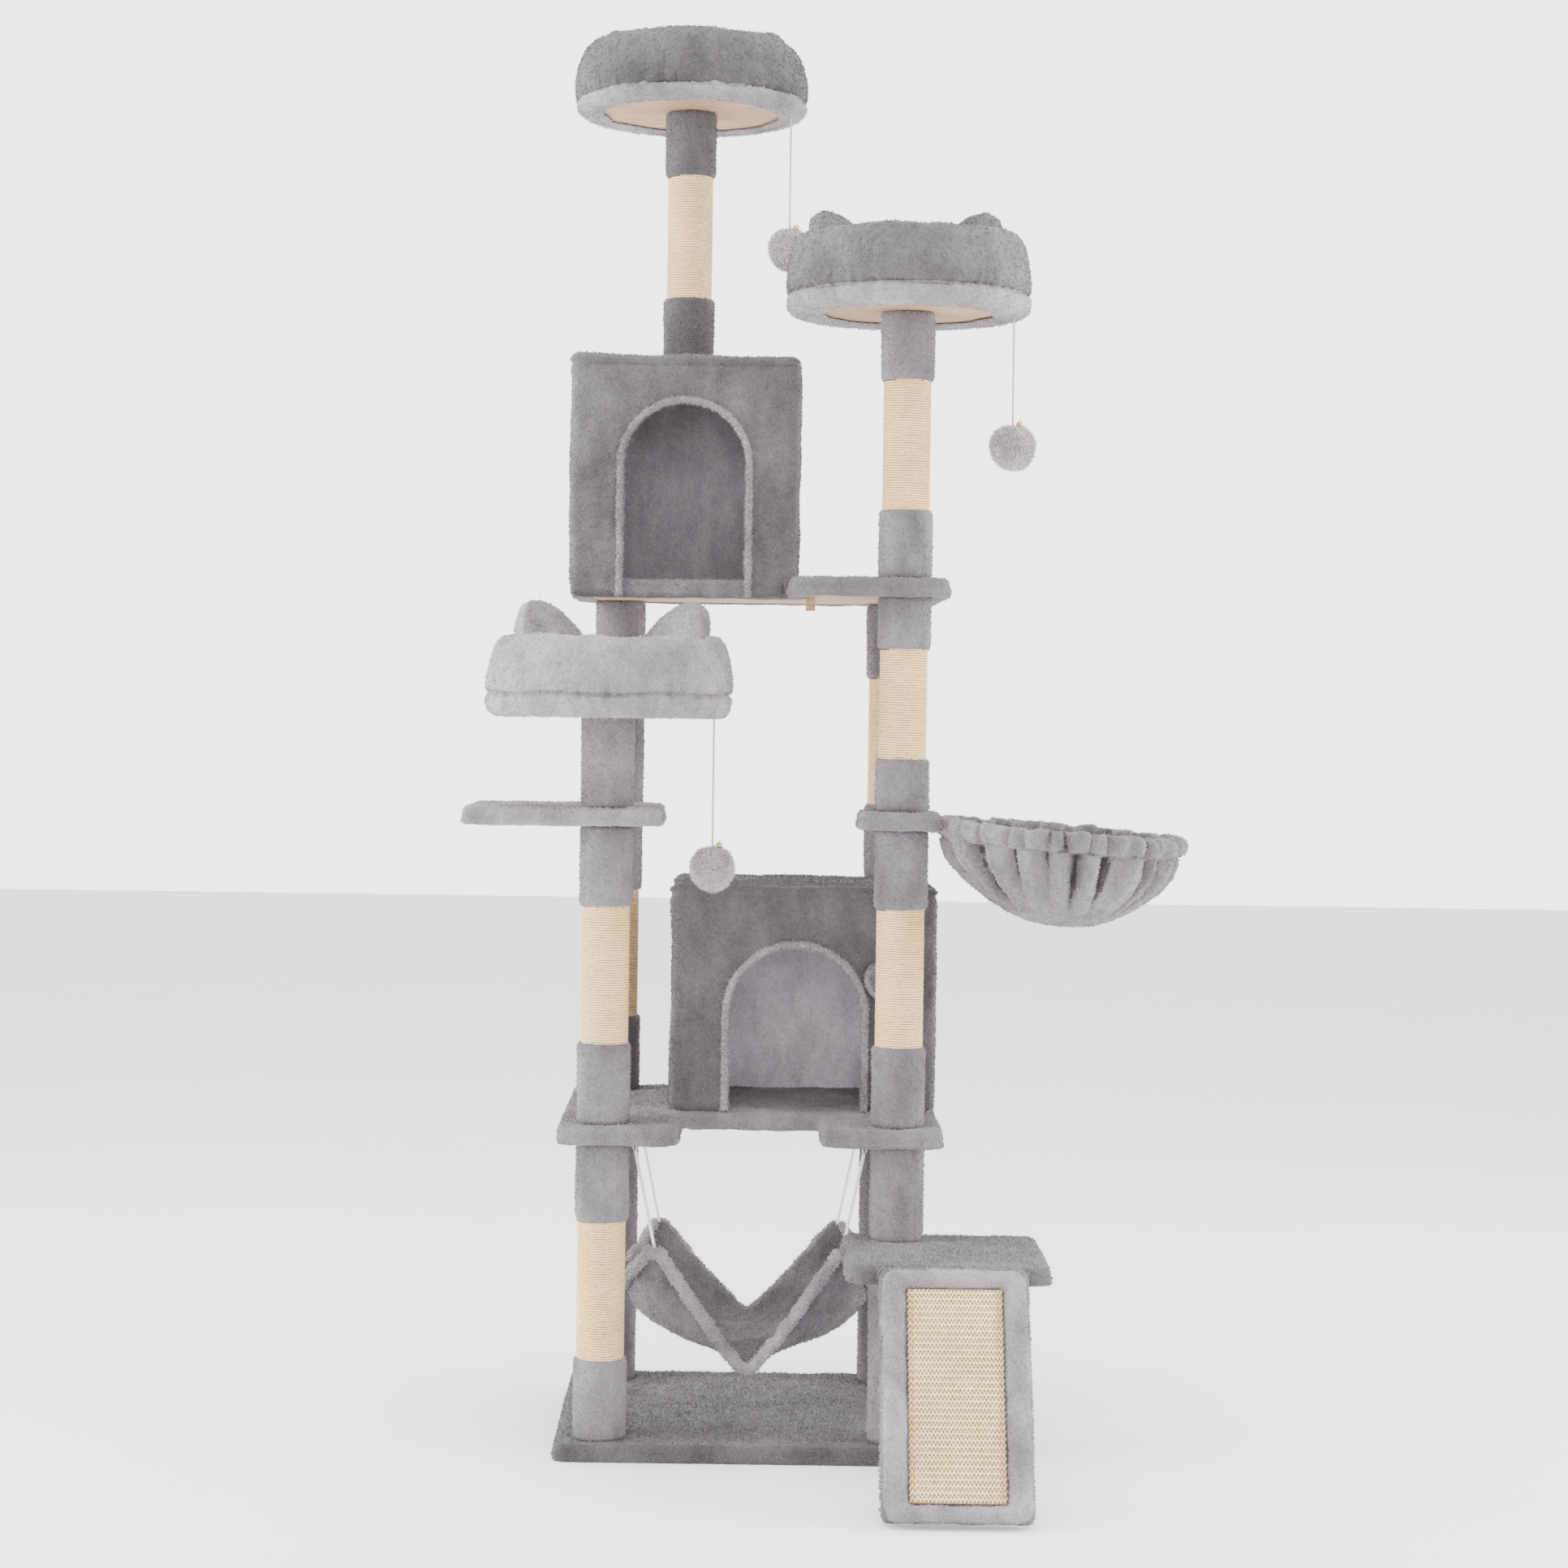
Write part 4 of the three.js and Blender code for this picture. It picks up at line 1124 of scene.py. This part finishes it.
def lobes(turn, count, power):
    """Rounded lobes with narrow valleys between them, from 0 in a valley to 1."""
    return abs(math.sin(turn * count / 2)) ** power


def gather(turn, height):
    """How far the cloth stands out at a turn and a height under the hoop."""
    here = Vector((math.cos(turn) * 1.7, math.sin(turn) * 1.7, 7.0))
    drift = 0.20 * noise.noise(here) + 0.07 * noise.noise(here * 4)
    slant = 3.2 * (height - BASKET_SEAM) * noise.noise(here * 3 + Vector((5, 0, 0)))
    own = max(0.25, 0.95 + 1.4 * noise.noise(here * 3.4 + Vector((0, 0, height * 5))))
    if height < BASKET_SEAM:
        fade = min(1.0, max(0.0, (height + 0.124) / 0.07)) ** 1.3
        return FOLD_DEPTH * fade * own * (lobes(turn + drift + slant * 0.35, FOLDS, 0.8) - 0.72)
    near = min(1.0, (height - BASKET_SEAM) / 0.008)
    return RUFFLE_DEPTH * own * near * (lobes(turn + drift * 1.4 + slant, RUFFLES, 0.7) - 0.75)


def plumb_shift(height):
    return max(0, PLUMB_FROM - height) * math.tan(BASKET_TILT)


def basket_mesh(name):
    line = resampled(BASKET_PROFILE, 0.0047)[1:-1]
    turns = np.linspace(0, 2 * math.pi, 340, endpoint=False)
    rings = []
    for r, z in line:
        ring = []
        for turn in turns:
            out = r + gather(turn, z) * min(1, r / 0.12)
            sway = 0.0055 * noise.noise(Vector((math.cos(turn) * 7, math.sin(turn) * 7, 2)))
            up = z + sway * min(1, max(0, z + 0.045) / 0.04)
            ring.append((out * math.cos(turn) + plumb_shift(z), out * math.sin(turn), up))
        rings.append(ring)
    return outward(grid(name, np.array(rings), caps=True))


tilt = (Matrix.Translation((post_middle.x + BASKET_OUT - HOOP_R, post_middle.y, hoop_z))
        @ Matrix.Rotation(BASKET_TILT, 4, "Y") @ Matrix.Translation((HOOP_R, 0, 0)))
GATHERED = fleece("gathered", 0.98)
basket = piece("basket_pouch", basket_mesh("basket_pouch"), GATHERED[0])
basket.data.transform(tilt)
rumple(basket.data, 0.0014, 70, 91)
level = tilt.inverted()


def in_valley(place):
    here = level @ place
    return gather(math.atan2(here.y, here.x - plumb_shift(here.z)), here.z) < VALLEY


# The folds' valleys are painted shade: darker cloth, and a half painted shade nap.
basket.data.materials.append(PAINTED_SHADE[0])
for part in basket.data.polygons:
    part.material_index = 1 if in_valley(part.center) else 0
mount(basket, nodes=["basket_bowl", "basket_hoop"])
grow_pile(basket, seed=91, spots=50000, length=0.003, material=GATHERED[1],
          seen=lambda at, normal: not in_valley(at))
shaded = grow_pile(basket, seed=94, spots=30000, length=0.003, material=HALF_PAINTED_SHADE[1],
                   seen=lambda at, normal: in_valley(at))
shaded.name = "basket_valley_nap"
print("basket", len(basket.data.vertices), "points")

# %% [markdown]
# The bracket between two posts is a plush-covered plate, and a plush neck runs from it round the
# hoop's tang and into the gathers.

# %% Basket bracket
plush_board("bracket_plush", ["basket_bracket"], ["basket_bracket"], 92, False)
NECK_R = 0.0105
NECK_SPREAD = 4.2 # it is this many times wider than it is high
bracket_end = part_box("basket_bracket")[1].x
neck_path = [(bracket_end - 0.030, post_middle.y, hoop_z + 0.001), (bracket_end, post_middle.y, hoop_z),
             (bracket_end + 0.020, post_middle.y, hoop_z - 0.004)]
neck = piece("basket_neck", tube("basket_neck", resampled(neck_path, 0.004), NECK_R, 24), plush)
neck_points = points_of(neck.data)
neck_points[:, 1] = post_middle.y + (neck_points[:, 1] - post_middle.y) * NECK_SPREAD
set_points(neck.data, neck_points)
rumple(neck.data, 0.002, 45, 93)
mount(neck)
grow_pile(neck, seed=93)

# %% [markdown]
# ## Ramp
# The ramp is a plush-covered board with a woven sisal mat let into its face. The plush stands
# proud of the mat all round, so a soft frame is laid on the covered panel.

# %% Ramp panel and its soft frame
RAMP_STEEP = math.radians(64)
RAMP_ROUND = 0.015 # radius of its corners
panel_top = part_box("ramp_panel")[1]
slope = (Matrix.Translation((middle("ramp_panel").x, panel_top.y, panel_top.z))
         @ Matrix.Rotation(RAMP_STEEP, 4, "X"))


def box_on_slope(node):
    """A CAD solid's lowest and highest corners in the slope's own directions."""
    flat_on = slope.inverted()
    points = points_of(solid_copy(f"{node}_copy", [node]))
    points = points @ np.array(flat_on.to_3x3()).T + np.array(flat_on.translation)
    return points.min(axis=0), points.max(axis=0)


mat_low, mat_high = box_on_slope("ramp_mat")
face_low, face_high = box_on_slope("ramp_panel")
plush_board("ramp_plush", ["ramp_panel"], ["ramp_panel"], 94, False)


def round_corners(mesh, low, high, radius):
    """Draws the points outside a rounded rectangle of the slope onto its edge."""
    place = np.array(slope)
    points = (points_of(mesh) - place[:3, 3]) @ place[:3, :3]
    middle_xy, half = (low[:2] + high[:2]) / 2, (high[:2] - low[:2]) / 2 - radius
    off = points[:, :2] - middle_xy
    past = np.maximum(np.abs(off) - half, 0)
    far = np.linalg.norm(past, axis=1)
    pull = np.where(far > radius, radius / np.maximum(far, 1e-9), 1)
    points[:, :2] = middle_xy + np.sign(off) * (np.minimum(np.abs(off), half) + past * pull[:, None])
    set_points(mesh, points @ place[:3, :3].T + place[:3, 3])
    above_floor(mesh)


round_corners(bpy.data.objects["ramp_plush"].data, face_low, face_high, RAMP_ROUND)


def rounded_line(low, high, radius, level):
    """A rounded rectangle's outline, corner by corner, at a level."""
    left, right = low[0] + radius, high[0] - radius
    near, far = low[1] + radius, high[1] - radius
    line = []
    for corner, (cx, cy) in enumerate(((right, far), (left, far), (left, near), (right, near))):
        for t in np.linspace(0, math.pi / 2, 5):
            turn = corner * math.pi / 2 + t
            line.append((cx + radius * math.cos(turn), cy + radius * math.sin(turn), level))
    return line


def frame_mesh(name, outer_low, outer_high, inner_low, inner_high, level, height):
    """A rounded frame between two rectangles, lying on a face at a level."""
    rings = []
    for share in np.linspace(0, 1, 13):
        low = outer_low * (1 - share) + inner_low * share
        high = outer_high * (1 - share) + inner_high * share
        rise = level + height * math.sin(math.pi * share) ** 0.55
        line = rounded_line(low, high, 0.016 * (1 - share) + 0.004, rise)
        dense = resampled(line + line[:1], 0.0045)
        steps = np.linspace(0, len(dense) - 1, 260, endpoint=False)
        rings.append([[np.interp(s, range(len(dense)), dense[:, k]) for k in range(3)] for s in steps])
    rings.append([[x, y, level - 0.004] for x, y, _ in rings[-1]])
    rings.append([[x, y, level - 0.004] for x, y, _ in rings[0]])
    rings.append(rings[0])
    return outward(grid(name, np.array(rings), caps=False))


BORDER_HEIGHT = 0.0140
# The soft frame is painted light, cloth and nap.
border = piece("ramp_border", frame_mesh(
    "ramp_border", face_low[:2] + 0.002, face_high[:2] - 0.002, mat_low[:2] - 0.001, mat_high[:2] + 0.001,
    face_high[2] - 0.003, BORDER_HEIGHT), PAINTED_LIGHT[0])
rumple(border.data, 0.0022, 38, 95)
border.data.transform(slope)
above_floor(border.data)
mount(border)
grow_pile(border, seed=95, spots=70000, length=0.0032, material=PAINTED_LIGHT[1])

# %% [markdown]
# The mat is woven from thick sisal yarn. Seen close, it is columns of slanted grains that lean left
# in one column and right in the next, and the columns at its sides are darker. Geometry Nodes put one
# small rounded grain on each point of a grid and turn it by its column's number.

# %% Woven mat
GRAIN_ACROSS = 0.0027 # from one column of grains to the next
GRAIN_ALONG = 0.0088 # from one grain to the next in its column
GRAIN_HALVES = (0.00135, 0.0060, 0.0018) # half its width, length and thickness
SELVAGE = 3 # columns of darker yarn at each side


def weave_tree():
    made = Tree("weave", Width=0.13, Length=0.297, Columns=40, Rows=66, Material=None)
    sheet = made.add("GeometryNodeMeshGrid", {
        "Size X": made.given["Width"], "Size Y": made.given["Length"],
        "Vertices X": made.given["Columns"], "Vertices Y": made.given["Rows"]})
    index = made.add("GeometryNodeInputIndex").outputs[0]
    column = made.math("FLOOR", made.math("DIVIDE", index, made.given["Rows"]), 0.0)
    lean = made.math("SUBTRACT", made.math("MODULO", column, 2.0), 0.5)
    turn = made.add("ShaderNodeCombineXYZ", {"Z": lean})
    grain = made.add("GeometryNodeMeshUVSphere", Segments=6, Rings=4, Radius=1.0)
    shape = made.add("GeometryNodeTransform", {"Geometry": grain.outputs["Mesh"]},
                     Scale=GRAIN_HALVES)
    size = made.add("FunctionNodeRandomValue", data_type="FLOAT")
    size.inputs[2].default_value = 0.88
    size.inputs[3].default_value = 1.1
    placed = made.add("GeometryNodeInstanceOnPoints", {
        "Points": sheet.outputs["Mesh"], "Instance": shape.outputs["Geometry"],
        "Rotation": turn.outputs[0], "Scale": size.outputs[1]})
    made.finish(placed.outputs["Instances"])
    return made


mat_size = mat_high - mat_low
columns = 2 * round(mat_size[0] / GRAIN_ACROSS / 2)
rows = round(mat_size[1] / GRAIN_ALONG)
weaving = weave_tree()
for name, count, first, yarn in (("ramp_weave", columns - 2 * SELVAGE, SELVAGE, matting),
                                 ("ramp_left_selvage", SELVAGE, 0, selvage),
                                 ("ramp_right_selvage", SELVAGE, columns - SELVAGE, selvage)):
    weave = weaving.run(name, empty_mesh, Width=(count - 1) * GRAIN_ACROSS,
                        Length=(rows - 1) * GRAIN_ALONG, Columns=count, Rows=rows, Material=yarn)
    across = (first + count / 2 - columns / 2) * GRAIN_ACROSS
    weave.data.transform(slope @ Matrix.Translation((across, (mat_low[1] + mat_high[1]) / 2, mat_high[2])))
    weave.data.polygons.foreach_set("use_smooth", [True] * len(weave.data.polygons))
    mount(weave)
    print(name, len(weave.data.polygons), "faces")
mat_mesh = frame["nodes"]["ramp_mat"].data
mat_mesh.materials.clear()
mat_mesh.materials.append(shade)

# %% [markdown]
# ## Hammock
# The sling is one thick sheet of plush hung by its corners. The cords draw its front and back hems
# tight into a V, and the cloth between them slumps outwards and down. It could be draped by a
# simulation, but the corners hold it so tightly that its shape is nearly a rule, so the CAD model's
# rule is followed, with folds that fan out from each corner and a fluffy hem all round.

# %% Sling
SLING_HALF = 0.0042 # half its thickness
LOW_FRONT, LOW_BACK = 0.120, 0.155 # the lowest points of the front and the rear hem
CORNER_X = 0.139
SPREAD, SLUMP = 0.057, 0.070 # how far the cloth between the hems goes out and down
ARM_END = 0.95 # the share of the way out where the cords take hold
V_BOTTOM = 0.02 # rounds the bottom of the V
BELLY = 2.05
sling_low, sling_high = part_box("hammock_sling")
corner_z = sling_high.z


def sling_point(share, back):
    """A point of the cloth's middle surface: share runs from -1 to 1 across, back from 0 to 1."""
    side, arm = math.copysign(1, share), min(1.0, abs(share) / ARM_END)
    x = (CORNER_X - 0.006) * arm + 0.013 * max(0.0, abs(share) - ARM_END) / (1 - ARM_END)
    blunt = math.sqrt(V_BOTTOM)
    rise = (math.sqrt(arm * arm + V_BOTTOM) - blunt) / (math.sqrt(1 + V_BOTTOM) - blunt)
    between = min(1.0, max(0.0, (back - 0.05) / 0.9))
    slump = math.sin(math.pi * between) ** 0.6 * math.sin(BELLY * arm ** 1.35)
    low = LOW_FRONT + (LOW_BACK - LOW_FRONT) * back
    waver = noise.noise(Vector((share * 2.2, back * 2.0, 4)))
    fold = 0.006 * slump * math.sin(9 * back + 7 * abs(share) + 5 * waver)
    z = low + (corner_z - low) * rise - SLUMP * slump + fold - SLING_HALF
    y = sling_low.y + (sling_high.y - sling_low.y) * back
    return (side * (x + SPREAD * slump + fold * 0.6), y, z)


sling_rows = np.array([[sling_point(share, back) for share in np.linspace(-1, 1, 121)]
                       for back in np.linspace(0, 1, 61)])
sling_sheet = outward(grid("hammock_cloth", sling_rows, around=False, caps=False))
sling = piece("hammock_cloth", sling_sheet, sling_plush)
shaped(sling, ("SOLIDIFY", {"thickness": 2 * SLING_HALF, "offset": 0}))
rumple(sling.data, 0.0018, 60, 96)
mount(sling, "hammock", ["hammock_sling"])
across = float(np.linalg.norm(np.diff(sling_rows, axis=1), axis=2).sum(axis=1).mean())

edge = np.concatenate([sling_rows[0], sling_rows[1:-1, -1], sling_rows[-1, ::-1], sling_rows[-2:0:-1, 0]])
HEM_R = 0.0082
# The hem is painted light, cloth and nap.
hem = piece("hammock_hem", tube("hem", edge, HEM_R, 14, closed=True), PAINTED_LIGHT[0])
rumple(hem.data, 0.0034, 60, 97)
mount(hem, "hammock")
hem_nap = grow_pile(hem, "hammock", seed=97, spots=110000, length=0.0042,
                    material=PAINTED_LIGHT[1])
sling_nap = grow_pile(sling, "hammock", seed=98)

# %% [markdown]
# Four white elastic cords carry the sling. Each one hangs from a bent wire clip on an eye screw
# under the board, and goes into the sling's corner.

# %% Cords and clips
CLIP_DROP = 0.028
CLIP_HALF = 0.0062 # half its width
EYE_R = 0.0038
WIRE_R = 0.0009
ELASTIC_D = 0.0048


def line_cord(name, points, diameter, material):
    curve = bpy.data.curves.new(name, "CURVE")
    curve.dimensions = "3D"
    curve.bevel_depth = diameter / 2
    curve.bevel_resolution = 3
    curve.use_fill_caps = True
    spline = curve.splines.new("POLY")
    spline.points.add(len(points) - 1)
    for point, place in zip(spline.points, points):
        point.co = (*place, 1)
    made = bpy.data.objects.new(name, curve)
    bpy.context.scene.collection.objects.link(made)
    curve.materials.append(material)
    return made


def wire_clip(name, top_point, way):
    """A teardrop of wire with an eye screw above it."""
    drop = []
    for t in np.linspace(0, 2 * math.pi, 40, endpoint=False):
        swell = CLIP_HALF * math.sin(t) * (0.62 + 0.38 * math.cos(t))
        along = CLIP_DROP * (0.55 - 0.45 * math.cos(t))
        drop.append(Vector(top_point) + Vector(way) * along + Vector((swell, 0, 0)))
    loop = tube(name, drop, WIRE_R, 8, closed=True)
    eye_line = [Vector(top_point) + Vector((0, EYE_R * math.sin(t), EYE_R * math.cos(t) - 0.0046))
                for t in np.linspace(0, 2 * math.pi, 20, endpoint=False)]
    return piece(name, joined(name, [loop, tube(name, eye_line, 0.0008, 8, closed=True)]), steel)


for side, sign in (("left", -1), ("right", 1)):
    for end in ("front", "rear"):
        node = f"hammock_cord_{side}_{end}"
        low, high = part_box(node)
        y = middle(node).y
        start = Vector((sign * (max(abs(low.x), abs(high.x)) - ELASTIC_D / 2), y, high.z))
        finish = Vector((sign * (min(abs(low.x), abs(high.x)) + ELASTIC_D / 2), y, low.z))
        way = (finish - start).normalized()
        clip = wire_clip(f"clip_{side}_{end}", start, way)
        mount(clip, f"cord_{side}_{end}")
        first = start + way * (CLIP_DROP - 0.002)
        route = [first.lerp(finish - Vector((0, 0, 0.002)), t) for t in np.linspace(0, 1, 15)]
        cord = line_cord(f"elastic_{side}_{end}", route, ELASTIC_D, elastic)
        mount(cord, f"cord_{side}_{end}", [node])
        print(cord.name, round((route[-1] - route[0]).length, 3), "m")

# %% [markdown]
# ## Toys
# A toy is a string from under a bed, a fluffy ball and a little brass bell. The ball is a small
# core with long, dense tufts. The bell is a hollow-looking ball with a raised belt and a slot.

# %% Pompoms, bells and strings
STRING_D = 0.003
BELL_R = 0.0053
FUR_LENGTH = 0.0090


def bell_mesh(name):
    """A ball with a raised belt and a slot below, and a ring on top."""
    work = bmesh.new()
    bmesh.ops.create_uvsphere(work, u_segments=28, v_segments=18, radius=BELL_R)
    for vertex in work.verts:
        belt = math.exp(-(vertex.co.z / 0.0007) ** 2)
        slot_depth = math.exp(-(vertex.co.y / 0.0006) ** 2) * (vertex.co.z < -0.0015)
        vertex.co += vertex.co.normalized() * (0.0004 * belt - 0.001 * slot_depth)
    mesh = bpy.data.meshes.new(name)
    work.to_mesh(mesh)
    work.free()
    ring = [(0.0019 * math.cos(t), 0, 0.0064 + 0.0019 * math.sin(t))
            for t in np.linspace(0, 2 * math.pi, 16, endpoint=False)]
    return joined(name, [mesh, tube(name, ring, 0.0005, 8, closed=True)])


for seed, name in enumerate(("high", "right", "left")):
    low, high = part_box(f"{name}_toy_string")
    ball = middle(f"{name}_toy_pompom")
    radius = (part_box(f"{name}_toy_pompom")[1].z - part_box(f"{name}_toy_pompom")[0].z) / 2
    work = bmesh.new()
    bmesh.ops.create_icosphere(work, subdivisions=5, radius=radius - 0.0045)
    core = bpy.data.meshes.new("pompom")
    work.to_mesh(core)
    work.free()
    pompom = piece(f"{name}_pompom", core, fluff)
    pucker = points_of(core)
    flat = np.linalg.norm(pucker[:, :2], axis=1)
    pucker[:, 2] -= 0.009 * np.exp(-(flat / 0.008) ** 2) * (pucker[:, 2] > 0)
    set_points(core, pucker)
    rumple(core, 0.003, 55, 100 + seed)
    core.transform(Matrix.Translation(ball))
    mount(pompom, f"{name}_pompom", [f"{name}_toy_pompom"])
    fur = grow_pile(pompom, f"{name}_pompom", seed=100 + seed, spots=640000, length=FUR_LENGTH,
                    width=0.0014, material=fluff)
    bell = piece(f"{name}_bell", bell_mesh("bell"), brass)
    bell_place = middle(f"{name}_toy_bell")
    bell.data.transform(Matrix.Translation(bell_place.lerp(ball, 0.09))
                        @ Matrix.Rotation(math.radians(17), 4, "Y"))
    mount(bell, f"{name}_pompom", [f"{name}_toy_bell"])
    top_point = Vector((ball.x, ball.y, high.z))
    route = [top_point.lerp(ball, t) for t in np.linspace(0, 1, 24)]
    toy_string = line_cord(f"{name}_string", route, STRING_D, string)
    mount(toy_string, f"{name}_string", [f"{name}_toy_string"])
    print(toy_string.name, round((route[-1] - route[0]).length, 3), "m")

# %% [markdown]
# ## Floor
# The floor is not part of the object.

# %% Floor and finish
floor_mesh = grid("floor", np.array([[(-9, -7, 0), (9, -7, 0)], [(-9, 12, 0), (9, 12, 0)]], float),
                  around=False, caps=False)
paper = Nodes("white_paper", Specular_IOR_Level=0.1)
paper.colour(paper.ramp(paper.noise(3), (0.3, (0.93, 0.93, 0.935)), (0.7, (0.95, 0.95, 0.95))))
paper.shader.inputs["Roughness"].default_value = 0.9
floor = piece("floor", floor_mesh, paper.material, smooth=False)
